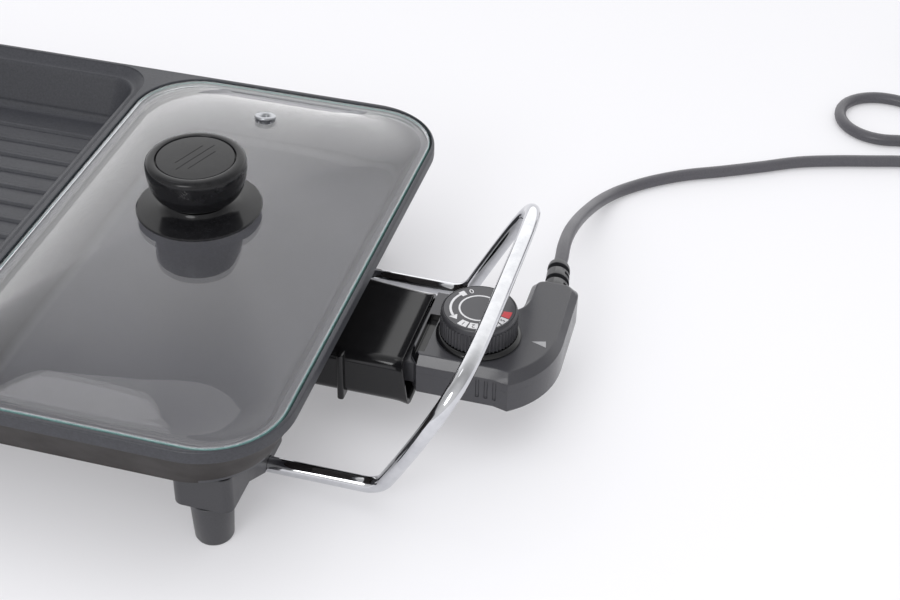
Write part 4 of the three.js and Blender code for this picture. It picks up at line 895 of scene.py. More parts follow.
def bracket_solid(sizes, tray, handle):
    """One moulded bracket, for the right front corner, about its foot's axis."""
    left, back = sizes.right - sizes.width, sizes.span - sizes.front
    under = RIM - tray.depth
    top = under - 3.2 * MM
    x, y = (left + sizes.right) / 2, (back - sizes.front) / 2
    corner = 5 * MM
    line = in_metres(((1, 0), (0.3, 0.3), (0, 1)), 0, sizes.clamp)
    line += in_metres(((0, -1), (0.3, -0.3), (1, 0)), 0, top)
    rings = []
    for inset, z in line:
        rings.append((sizes.width / 2 - inset, sizes.span / 2 - inset, corner - inset, z, x, y))
    body = loft(rings, 6)

    # Side view of what lies below the sloping underside
    past_front, past_back = -50 * MM, sizes.wire_y + 0.8 * MM
    slope_start = 13.4 * MM
    slope = [
        (past_front, 0),
        (past_back, sizes.clamp - 2.2 * MM),
        (sizes.wire_y - handle.wire / 2, sizes.clamp),
        (slope_start, sizes.base),
        (past_front, sizes.base),
    ]
    below = outline_solid(slope, left - OVERRUN * 5, sizes.right + OVERRUN * 5)
    turn(below, QUARTER, "X")
    turn(below, QUARTER, "Z")

    # Pad against the tray's floor, and the hollow round the foot's peg
    wall = 3 * MM
    pad_end = sizes.boss_y + sizes.boss + wall
    pad = block(
        left + 5 * MM,
        sizes.right - 5 * MM,
        pad_end - 29 * MM,
        pad_end + 5 * MM,
        top - 4 * MM,
        under - GAP,
    )
    hollow = block(
        left + wall,
        sizes.right - wall,
        wall - sizes.front,
        sizes.boss_y - sizes.boss - wall,
        sizes.base + wall,
        under + OVERRUN,
    )
    screw, screw_head = 2.3 * MM, 4.1 * MM
    wire_hole = peg(handle.wire / 2 + GAP, sizes.right - 27.3 * MM, sizes.right + OVERRUN)
    cuts = [
        below,
        hollow,
        shift(peg(sizes.boss + GAP, under - 9.3 * MM, under + OVERRUN), 0, sizes.boss_y),
        shift(peg(screw, 0, under), 0, sizes.boss_y),
        shift(peg(screw_head, 0, sizes.base + 3.2 * MM), 0, sizes.boss_y),
        along_x(wire_hole, 0, sizes.wire_y, handle.leg_z),
        peg(sizes.peg + GAP, sizes.base - OVERRUN, 28.3 * MM),
    ]
    return carved(body, cuts, [pad])


# Outline of a foot from its sole up to its peg, as radius and height in millimetres
FOOT_OUTLINE = (
    (0, 0),
    (7.85, 0),
    (8.8, 0.4),
    (9.25, 1.4),
    (10.4, 23.7),
    (10.2, 24),
)


class GRILL_OT_feet(bpy.types.Operator):
    """Build the four brackets and their feet"""

    bl_idname = "grill.feet"
    bl_label = "Brackets and feet"

    def execute(self, context):
        sizes = context.scene.grill_bracket
        peg_low, peg_top = 24 * MM, 27.7 * MM
        outline = in_metres(FOOT_OUTLINE)
        outline += [(sizes.peg, peg_low), (sizes.peg, peg_top), (0, peg_top)]
        for number, (side_x, side_y) in enumerate(CORNERS, 1):
            x, y = foot_place(sizes, side_x, side_y)
            bracket = bracket_solid(sizes, context.scene.grill_tray, context.scene.grill_handle)
            if side_x < 0:
                mirrored(bracket, "X")
            if side_y > 0:
                mirrored(bracket, "Y")
            look = ("base", "black_satin", ("nylon_satin",))
            shift(bracket, x, y)
            weighted(
                finish_piece(f"leg_bracket_{number}", bracket, *look, (f"foot_bracket_{number}",))
            )
            foot = shift(lathe(outline, 56), x, y)
            finish_piece(f"foot_cap_{number}", foot, *look, (f"foot_{number}",))
        return {"FINISHED"}


def handle_points(handle):
    """Centre line of the right handle: a leg, a corner, the leaning arch, and back."""
    bulge, draw, shoulder, straight = 12.6 * MM, 5.5 * MM, 4.4 * MM, 16.8 * MM
    steps = 72

    def in_plane(along, y):
        x = handle.reach + math.sin(handle.tilt) * along
        return Vector((x, y, handle.leg_z + math.cos(handle.tilt) * along))

    arch = (
        in_plane(0, handle.leg_y),
        in_plane(handle.rise + shoulder, handle.leg_y + bulge),
        in_plane(handle.rise, handle.leg_y - draw),
        in_plane(handle.rise, 0),
    )
    side = [bezier_point(*arch, step / steps) for step in range(steps + 1)]
    first = next(n for n, p in enumerate(side) if (p - side[0]).length > straight)
    start = Vector((-handle.inside, handle.leg_y, handle.leg_z))
    bend = rounded_run([start, side[0], side[first]], handle.bend, 12)
    near = bend[:-1] + side[first:]
    far = [Vector((p.x, -p.y, p.z)) for p in reversed(near[:-1])]
    return near + far


class GRILL_OT_handles(bpy.types.Operator):
    """Build the two wire handles"""

    bl_idname = "grill.handles"
    bl_label = "Handles"

    def execute(self, context):
        handle = context.scene.grill_handle
        right = handle_points(handle)
        left = [Vector((-TRAY_LENGTH - p.x, -p.y, p.z)) for p in right]
        for side, points in (("right", right), ("left", left)):
            wire, name = tube_mesh(points, handle.wire / 2, 7), f"handle_{side}"
            finish_piece(
                f"handle_wire_{side}", wire, "base", "chrome_wire", ("chrome_plate",), (name,)
            )
        return {"FINISHED"}


# Socket

# Distance from the mouth and flare there, in millimetres: the outside, then the hollow
MOUTH_OUTSIDE = ((-7, 0), (-4, 0.2), (-1.2, 0.8), (-0.3, 0.9), (0, 0.5))
MOUTH_INSIDE = ((-5, 0), (-1.2, 0.9), (-0.4, 1.4), (0, 2.2), (3, 2.2))


class GRILL_OT_socket(bpy.types.Operator):
    """Build the glossy socket housing under the tray's end"""

    bl_idname = "grill.socket"
    bl_label = "Socket"

    def execute(self, context):
        socket = context.scene.grill_socket
        element = context.scene.grill_element
        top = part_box("socket_housing")[1].z
        rear, mouth, base = -socket.rear, socket.mouth, socket.base
        middle_z, half_z = (top + base) / 2, (top - base) / 2
        least_corner, edge = 1.2 * MM, 1.2 * MM

        def sleeve(inset, stations):
            """A sleeve through stations of (x, flare), drawn in by an inset."""
            rings = []
            for x, flare in stations:
                grow = flare - inset
                radius = max(socket.corner + grow, least_corner)
                wider = max(0.0, (mouth - x) * socket.splay)
                half_y = socket.half + grow + wider
                rings.append((half_z + grow, half_y, radius, x, -middle_z, socket.aside + wider))
            return turn(loft(rings, 6), QUARTER, "Y")

        shell = sleeve(0, [(rear, 0)] + in_metres(MOUTH_OUTSIDE, mouth))
        back_wall = 4 * MM
        hollow = sleeve(socket.wall, [(rear + back_wall, 0)] + in_metres(MOUTH_INSIDE, mouth))
        flange = block(
            -8.5 * MM,
            -5.1 * MM,
            socket.aside - socket.half - 2.4 * MM,
            socket.aside + socket.half - 4 * MM,
            base - 2.4 * MM,
            top - 0.4 * MM,
        )
        soften(flange, edge, 3)
        ear_half = socket.screw_y + 5.95 * MM
        ear_low, ear_high = 27 * MM, 30 * MM
        ear = block(rear - 12 * MM, rear + 2 * MM, -ear_half, ear_half, ear_low, ear_high)
        soften(ear, 0.5 * MM)
        pin_hole, screw_hole, probe_hole = 2.9 * MM, 2.2 * MM, 5.5 * MM
        through = (rear - OVERRUN, rear + 6 * MM)
        cuts = [hollow]
        for hand in (1, -1):
            pin = peg(pin_hole, *through)
            cuts.append(along_x(pin, 0, hand * element.pin_y, element.pin_z))
            screw = peg(screw_hole, ear_low - OVERRUN, ear_high + OVERRUN)
            cuts.append(shift(screw, rear - 6 * MM, hand * socket.screw_y))
        cuts.append(along_x(peg(probe_hole, *through), 0, 0, element.probe_z))
        body = carved(shell, cuts, [flange, ear])
        slanted = 9 * MM
        for vert in body.verts:
            share = max(vert.co.x - mouth + slanted, 0) / slanted
            vert.co.x += (middle_z - vert.co.z) / half_z * socket.slant * share
        piece = finish_piece(
            "socket_sleeve", body, "base", "black_gloss", ("phenolic_gloss",), ("socket_housing",)
        )
        weighted(piece)
        return {"FINISHED"}


# Glass lid and its knob

# Share of the way in over which the border curves up into the dome
BLEND = 0.078

# Outlines of radius and height in millimetres: the guard's edge and its neck about its rim,
# the grip's top and the cap about the knob's top, and the steam vent about its flange
GUARD_EDGE = ((-2, -1.1), (-0.4, -0.6), (0, 0), (-0.6, 0.6), (-2.4, 0.9))
GUARD_NECK = ((21.5, 1.7), (18.6, 2.6), (17, 4), (16.5, 5.1), (2.7, 5.1), (2.7, -1.8))
GRIP_EDGE = ((0.1, -2.7), (-0.2, -1.5), (-0.9, -0.6), (-2.1, -0.1))
GRIP_SEAT = ((20.6, 0.1), (19.9, -0.1), (19.7, -0.4), (19.6, -1.6), (4.9, -1.6))
CAP_OUTLINE = ((0, -1.3), (19.3, -1.3), (19.3, -0.7), (18.9, -0.3), (15, -0.1), (9.6, 0), (0, 0))
VENT_OUTLINE = (
    (1.9, -5.7),
    (3.6, -5.7),
    (3.6, -4.6),
    (3.1, -4.6),
    (3.1, 0.4),
    (5.6, 0.4),
    (5.8, 0.8),
    (5.8, 1.5),
    (5.5, 2),
    (4.7, 2.3),
    (3.4, 2.2),
    (2.6, 1.7),
    (2.1, 0.8),
    (1.9, -5.7),
)


def lid_levels(lid):
    """Heights of the glass's underside and of its top, at the border."""
    base = RIM - bpy.context.scene.grill_tray.seat + GAP
    return base, base + lid.thickness


def dome_height(lid, share):
    """Height of the dome above its border; share is 0 at the border and 1 in the middle."""
    power = 2.6
    if share >= BLEND:
        return lid.rise * (1 - (1 - share) ** power)
    value = lid.rise * (1 - (1 - BLEND) ** power)
    slope = lid.rise * power * (1 - BLEND) ** (power - 1)
    t = (share + BLEND) / (2 * BLEND)
    return value * (3 * t * t - 2 * t**3) + slope * 2 * BLEND * (t**3 - t * t)


def dome_ring(lid, share, z):
    """A ring of the dome: from the long rounded border to a round middle."""
    tray = bpy.context.scene.grill_tray
    x, size = well_frames(tray)[0]
    inner_x = size / 2 - lid.gap - lid.flange
    inner_y = PLATE_HIGH.y - tray.lip - lid.gap - lid.flange
    corner = tray.seat_radius - lid.gap - lid.flange
    if share < 0:
        grow = -share * inner_x
        return (inner_x + grow, inner_y + grow, corner + grow, z, x, 0)
    half_x = inner_x * (1 - share)
    half_y = inner_y * (1 - share) + (inner_y - inner_x) * share * (1 - share) ** 2
    near = corner * (1 - share)
    radius = near + (half_x - near) * math.sqrt(share)
    not_quite_full = 0.999
    return (half_x, half_y, radius * not_quite_full, z, x, 0)


def glass_solid(lid):
    """The glass: its underside from the middle out, its rounded edge, and its top back in."""
    tray = bpy.context.scene.grill_tray
    base, top = lid_levels(lid)
    x, size = well_frames(tray)[0]
    half_x = size / 2 - lid.gap
    half_y = PLATE_HIGH.y - tray.lip - lid.gap
    corner = tray.seat_radius - lid.gap
    border_steps, dome_steps, edge_steps = 6, 30, 8
    inmost, crowding, edge_depth = 0.98, 0.85, 0.7
    shares = [BLEND * (step / border_steps - 1) for step in range(border_steps * 2 + 1)]
    for step in range(1, dome_steps + 1):
        shares.append(BLEND + (inmost - BLEND) * (step / dome_steps) ** crowding)
    rings = [dome_ring(lid, s, top + dome_height(lid, s) - lid.thickness) for s in reversed(shares)]
    edge = lid.thickness / 2
    for step in range(edge_steps + 1):
        angle = -QUARTER + math.pi * step / edge_steps
        inset = edge * edge_depth * (1 - math.cos(angle))
        z = base + edge + edge * math.sin(angle)
        rings.append((half_x - inset, half_y - inset, corner - inset, z, x, 0))
    rings += [dome_ring(lid, s, top + dome_height(lid, s)) for s in shares]
    return loft(rings, 16)


class GRILL_OT_lid(bpy.types.Operator):
    """Build the domed glass lid, its knob and its steam vent"""

    bl_idname = "grill.lid"
    bl_label = "Glass lid"

    def execute(self, context):
        lid = context.scene.grill_lid
        x = well_frames(context.scene.grill_tray)[0][0]
        vent_low, vent_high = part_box("steam_vent")
        vent_x = (vent_low.x + vent_high.x) / 2 - TRAY_END
        vent_y = (vent_low.y + vent_high.y) / 2
        through = (70 * MM, 120 * MM)
        knob_hole = 4.5 * MM
        cuts = [
            shift(peg(knob_hole, *through), x),
            shift(peg(lid.vent, *through), vent_x, vent_y),
        ]
        top = lid_levels(lid)[1]
        steep = 0.85

        def rim(face):
            return abs(face.normal.z) < steep and face.calc_center_median().z < top

        glass = paint(carved(glass_solid(lid), cuts), 1, rim)
        finish_piece(
            "lid_dome", glass, "lid", "clear_glass", ("pressed_glass", "glass_edge"), ("lid_glass",), 40
        )
        self.knob(lid, x)
        self.vent(vent_x, vent_y, vent_high.z)
        return {"FINISHED"}

    def knob(self, lid, x):
        """The knob: its heat guard, its grip, and the cap let into the grip's top."""
        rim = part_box("knob_guard")[0].z + 1.8 * MM
        foot = rim + 5.4 * MM
        top = foot + lid.grip_height
        sides = 96
        guard = in_metres(((2.7, -1.8), (12, -1.8)), 0, rim)
        guard += in_metres(GUARD_EDGE, lid.guard, rim) + in_metres(GUARD_NECK, 0, rim)
        collar = shift(lathe(guard, sides), x)
        finish_piece(
            "knob_collar", collar, "lid", "black_gloss", ("phenolic_knob",), ("knob_guard",)
        )

        bore, neck_height, swell, steps = 4.9 * MM, 1.6 * MM, 0.9, 16
        neck = foot + neck_height
        shoulder = top - 3.6 * MM
        grip = [(bore, foot)] + in_metres(((-0.4, 0), (0, 0.5), (0.2, 1.6)), lid.base, foot)
        for step in range(1, steps + 1):
            angle = QUARTER * step / steps
            radius = lid.base + 0.2 * MM + (lid.grip - lid.base) * math.sin(angle) ** swell
            grip.append((radius, neck + (shoulder - neck) * (1 - math.cos(angle))))
        grip += in_metres(GRIP_EDGE, lid.grip, top) + in_metres(GRIP_SEAT, 0, top) + [(bore, foot)]
        body = shift(lathe(grip, sides), x)
        finish_piece("knob_body", body, "lid", "black_gloss", ("phenolic_knob",), ("knob_grip",))

        cap = lathe(in_metres(CAP_OUTLINE, 0, top), sides)
        groove_half, groove_depth, apart = 0.17 * MM, 0.3 * MM, 4.2 * MM
        grooves = []
        for offset, reach in ((-apart, 9.8 * MM), (0, 13.8 * MM), (apart, 9.8 * MM)):
            groove = block(
                -reach, reach, offset - groove_half, offset + groove_half, top - groove_depth, top + MM
            )
            grooves.append(turn(groove, math.radians(70), "Z"))
        inlay = shift(carved(cap, grooves), x)
        finish_piece("knob_inlay", inlay, "lid", "black_satin", ("phenolic_knob",), ("knob_cap",))

    def vent(self, x, y, top):
        """The eyelet of the steam vent, square to the slope of the glass."""
        slope = math.atan2(2.45, 10.8)
        eyelet = turn(lathe(in_metres(VENT_OUTLINE), 48), -slope, "X")
        shift(eyelet, x, y, top - 3.2 * MM)
        finish_piece(
            "vent_eyelet", eyelet, "lid", "plain_steel", ("plated_steel",), ("steam_vent",)
        )


# Thermostat

# The contact block, which the housing holds round its right part
BLOCK_LEFT, BLOCK_RIGHT, BLOCK_HALF = 3 * MM, 45 * MM, 22.6 * MM
BLOCK_LOW, BLOCK_HIGH = 31.4 * MM, 44.2 * MM

# Outlines of radius and height in millimetres: the dial's ring about its top, the probe's tip
# and open end about its wall
RING_TOP = ((21.2, -1.8), (21, -1.3), (19.8, -0.1), (19.4, 0), (18.8, -0.2), (16.5, -0.4))
PROBE_WALL = (
    (-2.2, -55.8),
    (-0.8, -54.9),
    (-0.1, -53.3),
    (0, -52),
    (0, 44.7),
    (-0.6, 44.7),
    (-0.6, -52.4),
)


def housing_outline(inset=0.0, left_share=1.0):
    """Plan of the thermostat's housing, anticlockwise from its left front corner."""
    sizes = bpy.context.scene.grill_control
    steps, share = 12, 0.35
    left, right = sizes.left + inset * left_share, sizes.right - inset
    front, back = inset - sizes.half, sizes.half - inset
    arm_left, arm_right = 70.5 * MM + inset, right - 0.9 * MM
    arm_end = sizes.arm_end - inset
    corner = Vector((77.4 * MM - inset * share, inset + inset * share - 28 * MM))
    side_y, notch_y, notch_x, bend = 10 * MM, 38 * MM, 60 * MM, 5 * MM
    step_x, step_y = 44 * MM, 5.2 * MM
    points = [
        Vector((left, front + 6.5 * MM)),
        Vector((left + 4.6 * MM, front)),
        Vector((70 * MM, front)),
        corner,
    ]

    def curve(a, b, c, d):
        for step in range(1, steps + 1):
            points.append(bezier_point(a, b, c, d, step / steps))

    def rounded(start, edge, end):
        points.append(start)
        curve(start, start + (edge - start) * 2 / 3, end + (edge - end) * 2 / 3, end)

    half_x, half_y = (right - corner.x) / 2, (side_y - corner.y) / 2
    curve(
        corner,
        Vector((corner.x + half_x, corner.y + half_y * share)),
        Vector((right, corner.y + half_y)),
        Vector((right, side_y)),
    )
    rounded(
        Vector((arm_right, 49 * MM - inset)),
        Vector((arm_right, arm_end)),
        Vector((arm_right - bend, arm_end)),
    )
    rounded(
        Vector((arm_left + bend, arm_end)),
        Vector((arm_left, arm_end)),
        Vector((arm_left, arm_end - bend)),
    )
    notch = Vector((arm_left, notch_y))
    points.append(notch)
    curve(
        notch,
        Vector((arm_left, notch_y - (notch_y - back) * 0.75)),
        Vector((arm_left - (arm_left - notch_x) / 2, back)),
        Vector((notch_x, back)),
    )
    points.append(Vector((step_x, back)))
    points.append(Vector((step_x - 3.5 * MM, back + step_y)))
    points.append(Vector((left, back + step_y)))
    return points


def housing_skin(levels, left_share=1.0):
    """The housing's plan at several (inset, height) levels, joined into one solid."""
    bm = bmesh.new()
    loops = []
    for inset, z in levels:
        loops.append([bm.verts.new((x, y, z)) for x, y in housing_outline(inset, left_share)])
    bm.faces.new(loops[0])
    bm.faces.new(loops[-1])
    for low, high in zip(loops, loops[1:]):
        for n in range(len(low)):
            bm.faces.new((low[n - 1], low[n], high[n], high[n - 1]))
    bmesh.ops.recalc_face_normals(bm, faces=bm.faces)
    return bm


def housing_cuts(sizes):
    """What both halves of the housing lose: the block's seat, the cord's exit, finger grooves."""
    half = BLOCK_HALF + GAP
    seat = block(
        sizes.left - 1.8 * MM, BLOCK_RIGHT + GAP, -half, half, BLOCK_LOW - GAP, BLOCK_HIGH + GAP
    )
    cord_exit = turn(peg(4 * MM, sizes.arm_end - 6.7 * MM, sizes.arm_end - 0.1 * MM), -QUARTER, "X")
    cuts = [seat, shift(cord_exit, sizes.relief_x, 0, sizes.split)]
    for x, y in in_metres(((61.8, -26.2), (66.1, -26.2), (70.3, -26.4))):
        cuts.append(shift(peg(MM, 33 * MM, 44.2 * MM, 16, 0.5 * MM), x, y))
    return cuts


class GRILL_OT_thermostat(bpy.types.Operator):
    """Build the plug-in thermostat's housing, its dial ring and its probe"""

    bl_idname = "grill.thermostat"
    bl_label = "Thermostat"

    def execute(self, context):
        sizes = context.scene.grill_control
        dial = context.scene.grill_dial
        element = context.scene.grill_element
        low, high, seam, wall = sizes.low, sizes.high, sizes.split, sizes.wall
        lower = housing_skin(in_metres(((0.9, 0), (0.2, 0.3), (0, 1)), 0, low) + [(0, seam)])
        cuts = [housing_skin([(wall, low + wall), (wall, high)]), *housing_cuts(sizes)]
        lower = carved(lower, cuts)
        weighted(
            finish_piece(
                "housing_lower", lower, "controller", "grey_satin", ("abs_satin",), ("controller_base",)
            )
        )

        edge, joint, left_share = sizes.edge, 0.04 * MM, 0.2
        levels = [(0, seam + joint)]
        levels += in_metres(((0, -0.3), (0.1, 0), (0.4, 0.3)), 0, high - edge * 1.4)
        levels += in_metres(((-0.4, -0.4), (0, -0.1), (0.5, 0)), edge, high)
        upper = housing_skin(levels, left_share)
        slot_x, slot_y = (28.1 * MM, 33.4 * MM), (-20.5 * MM, 9.5 * MM)
        slot_z = (high - 3.6 * MM, high + OVERRUN)
        near, sill = 0.1 * MM, 0.6 * MM

        # The slot's walls and floor take the socket's black gloss: painted shade in the recess of the
        # housing's top
        def in_slot(face):
            x, y, z = face.calc_center_median()
            inside_x = slot_x[0] - near < x < slot_x[1] + near
            inside_y = slot_y[0] - near < y < slot_y[1] + near
            return inside_x and inside_y and slot_z[0] - near < z < high - sill

        roof, thicker = high - 5.2 * MM, wall + 0.6 * MM
        cuts = [
            soften(block(*slot_x, *slot_y, *slot_z), 0.5 * MM),
            housing_skin([(thicker, low), (thicker, roof)]),
            shift(peg(dial.spindle, seam, high + OVERRUN), dial.x),
            *housing_cuts(sizes),
        ]
        upper = paint(carved(upper, cuts), 1, in_slot)
        weighted(
            finish_piece(
                "housing_upper",
                upper,
                "controller",
                "grey_satin",
                ("abs_satin", "phenolic_gloss"),
                ("controller_cover",),
            )
        )
        self.ring(dial)
        self.contact_block(sizes, element)
        self.probe(sizes, element)
        self.pointer(sizes, dial)
        return {"FINISHED"}

    def ring(self, dial):
        """The glossy ring round the dial's foot."""
        low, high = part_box("dial_bezel")
        inner, outer = 16.5 * MM, 20.8 * MM
        outline = [(inner, low.z), (outer, low.z), *in_metres(RING_TOP, 0, high.z), (inner, low.z)]
        ring = shift(lathe(outline, 96), dial.x)
        finish_piece(
            "dial_ring", ring, "controller", "black_gloss", ("phenolic_gloss",), ("dial_bezel",)
        )

    def contact_block(self, sizes, element):
        """The block between the socket's pins, with its bores for the pins and the probe."""
        carrier = block(BLOCK_LEFT, BLOCK_RIGHT, -BLOCK_HALF, BLOCK_HALF, BLOCK_LOW, BLOCK_HIGH)
        soften(carrier, 0.8 * MM)
        probe_bore = peg(sizes.probe + GAP, BLOCK_LEFT - OVERRUN, BLOCK_RIGHT + OVERRUN)
        cuts = [along_x(probe_bore, 0, 0, element.probe_z)]
        for hand in (1, -1):
            pin_bore = peg(4.1 * MM, BLOCK_LEFT - OVERRUN, 20.3 * MM)
            cuts.append(along_x(pin_bore, 0, hand * element.pin_y, element.pin_z))
        carrier = carved(carrier, cuts)
        weighted(
            finish_piece(
                "contact_block",
                carrier,
                "controller",
                "black_satin",
                ("nylon_satin",),
                ("contact_carrier",),
            )
        )

    def probe(self, sizes, element):
        """The thin steel tube that feels the tray's heat."""
        tip, inner_tip = -56 * MM, -52.4 * MM
        outline = [(0, tip), *in_metres(PROBE_WALL, sizes.probe), (0, inner_tip)]
        sheath = along_x(lathe(outline, 40), 0, 0, element.probe_z)
        finish_piece(
            "probe_sheath", sheath, "controller", "plain_steel", ("plated_steel",), ("probe_tube",)
        )

    def pointer(self, sizes, dial):
        """The printed triangle that the dial's scale is read against."""
        outline = in_metres(((81.9, 2.4), (89.5, -0.3), (88.5, 4.3)))
        mark = outline_solid(outline, sizes.high, sizes.high + dial.ink * 2)
        finish_piece("pointer_mark", mark, "controller", "white_ceramic", ("grey_ink",))


# Dial

# Outline of the dial's top about its face, as radius and height in millimetres
DIAL_TOP = ((18.85, -2.6), (18.8, -1.2), (18.5, -0.4), (18, 0), (0, 0))


def sector(radius, inner, start, end, low, high):
    """A flat piece of a ring between two angles in degrees; the radii are in mm."""
    steps = 12
    outer_points, inner_points = [], []
    for step in range(steps + 1):
        angle = math.radians(start + (end - start) * step / steps)
        outer_points.append((radius * math.cos(angle), radius * math.sin(angle)))
        inner_points.append((inner * math.cos(angle), inner * math.sin(angle)))
    return outline_solid(in_metres(outer_points + inner_points[::-1]), low, high)


def figure(text, size, radius, angle, low, high):
    """A printed number on the dial, its foot towards the middle; size and radius are in mm."""
    curve = bpy.data.curves.new("working", "FONT")
    curve.body = text
    curve.size = size * MM
    curve.extrude = (high - low) / 2
    curve.align_x = "CENTER"
    curve.align_y = "CENTER"
    shape = curve_mesh(curve)
    turn(shape, math.radians(angle - 90), "Z")
    place = math.radians(angle)
    reach = radius * MM
    return shift(shape, reach * math.cos(place), reach * math.sin(place), (low + high) / 2)


class GRILL_OT_dial(bpy.types.Operator):
    """Build the knurled dial and the scale printed on it"""

    bl_idname = "grill.dial"
    bl_label = "Dial"

    def execute(self, context):
        dial = context.scene.grill_dial
        base, top, radius = dial.base, dial.top, dial.radius
        sides, points_each = 96, 4
        knurl = bmesh.new()
        count = dial.teeth * points_each
        circle = bmesh.ops.create_circle(knurl, cap_ends=True, segments=count, radius=radius)
        for number, vert in enumerate(circle["verts"]):
            if number % points_each >= points_each / 2:
                vert.co *= (radius - dial.tooth) / radius
        raised = bmesh.ops.extrude_face_region(knurl, geom=knurl.faces[:])["geom"]
        tops = [part for part in raised if isinstance(part, bmesh.types.BMVert)]
        bmesh.ops.translate(knurl, vec=(0, 0, 9.9 * MM), verts=tops)
        bmesh.ops.recalc_face_normals(knurl, faces=knurl.faces)
        shift(knurl, 0, 0, base)
        cap_low = base + 8.5 * MM
        cap = lathe([(0, cap_low), (18.5 * MM, cap_low), *in_metres(DIAL_TOP, 0, top)], sides)
        cuts = [
            peg(16.5 * MM, base - OVERRUN, top - 3.1 * MM, 64),
            peg(17.9 * MM, top - 1.1 * MM, top + OVERRUN, 64),
        ]
        hub = peg(5 * MM, base, top - 2 * MM)
        bore = peg(dial.spindle, base - OVERRUN, top - 4 * MM)
        wheel = shift(carved(carved(knurl, cuts, [cap]), [bore], [hub]), dial.x)
        finish_piece("dial_wheel", wheel, "dial", "black_satin", ("nylon_satin",), ("dial_knob",))
        rim, low = 17.6 * MM, top - 0.8 * MM
        plate = lathe([(0, low), (rim, low), (rim, top), (0, top)], sides, 0.1 * MM, 1)
        shift(plate, dial.x)
        finish_piece("dial_plate", plate, "dial", "grey_satin", ("abs_satin",), ("dial_face",))
        self.print_scale(dial)
        return {"FINISHED"}

    def print_scale(self, dial):
        """The scale: a ring, an arc that ends in an arrow, five numbered fields and a stop mark."""
        top = dial.top
        ink, over = top + dial.ink, top + dial.ink * 2
        white = pipe(10.3 * MM, 9.4 * MM, top, ink, 96)
        joined(white, sector(14.8, 13.6, 146, 221, top, ink))
        joined(white, sector(15.8, 12.2, 134, 146, top, ink))
        tip = [(16.4, 220), (12, 220), (14.3, 234)]
        arrow = [(r * math.cos(math.radians(a)), r * math.sin(math.radians(a))) for r, a in tip]
        joined(white, outline_solid(in_metres(arrow), top, ink))
        first, pitch, half = 252, 20.5, 8.8
        middles = [first + pitch * number for number in range(5)]
        for angle in middles:
            joined(white, sector(16.6, 12.4, angle - half, angle + half, top, ink))
        joined(white, figure("0", 4.6, 13.8, 121, top, ink))
        shift(white, dial.x)
        finish_piece("dial_marks", white, "dial", "white_ceramic", ("white_ink",))
        red = shift(sector(16.2, 12, 345, 364, top, ink), dial.x)
        finish_piece("dial_stop_mark", red, "dial", "white_ceramic", ("red_ink",))
        numbers = bmesh.new()
        for number, angle in enumerate(middles, 1):
            joined(numbers, figure(str(number), 3.7, 14.5, angle, ink, over))
        shift(numbers, dial.x)
        finish_piece("dial_numbers", numbers, "dial", "black_satin", ("dark_ink",))


# Cord

# Centre line of the cord from the strain relief to the coil, in millimetres
CORD_ROUTE = (
    (79.2, 80.3, 41), (78.7, 88.5, 41), (77.4, 100.6, 40.2), (76.5, 117.5, 36.6), (76.3, 133.7, 31.5),
    (76.7, 153, 24.5), (77.8, 172.2, 17.2), (80.3, 191.5, 10.6), (84.3, 207.1, 6), (90.3, 218.3, 4.2),
    (105, 233.3, 3.8), (123.9, 246.8, 3.8), (145.9, 258.2, 3.8), (168, 270.3, 3.8),
    (191.5, 283.6, 3.8), (214.4, 292.1, 3.8), (235.1, 298.3, 3.8), (251.5, 303.1, 3.8),
    (266, 305.2, 3.8), (280, 304, 3.8), (294, 299, 3.8), (308, 292.6, 3.8), (323, 290, 3.8),
    (337.5, 293.6, 3.8), (348.5, 304, 3.8), (353, 318.5, 3.8), (349.5, 333.5, 3.8), (339.6, 344, 3.8),
    (324, 349, 3.8), (309, 346.4, 3.8), (295, 340, 3.8), (281, 333.2, 3.8), (266, 329.8, 3.8),
    (251, 328.3, 3.8), (240, 326.2, 3.8), (229, 327.6, 3.8), (219.3, 333.4, 3.8), (212.8, 343, 3.8),
    (210.8, 354.2, 3.8), (213.4, 365.2, 3.8), (221, 374.2, 3.8), (232, 379.4, 3.8), (243.5, 380, 3.8),
    (255, 377.4, 3.8), (268, 373, 3.8), (282, 369.6, 3.9), (298, 367.8, 4.2), (324, 367.4, 4.8),
    (332, 367.4, 4.8),
)
TURNS_PER_LAYER = 1.75
# Outline of one ring of the strain relief about its radius and place, in millimetres
RELIEF_RING = ((0, -1.8), (-0.2, -1.5), (-2.2, -1.4), (-2.2, 1.4), (-0.2, 1.5), (0, 1.8))
# Half width and half height of the plug at a distance from its cord's end, in millimetres;
# the second table gives how far the face lies below the plug's full half height instead
PLUG_NECK = (
    (0.3, 5, 5),
    (0.8, 5.8, 5.8),
    (4, 6, 6),
    (16, 6.4, 6.4),
    (18, 8.4, 7.8),
    (21, 11.2, 9.6),
    (28, 14.2, 11.2),
    (36, 16.4, 12.2),
)
PLUG_BODY = ((40.5, 17.7, 0), (41.5, 18, 0), (45.6, 18, 0), (46.3, 17.4, 0.6))


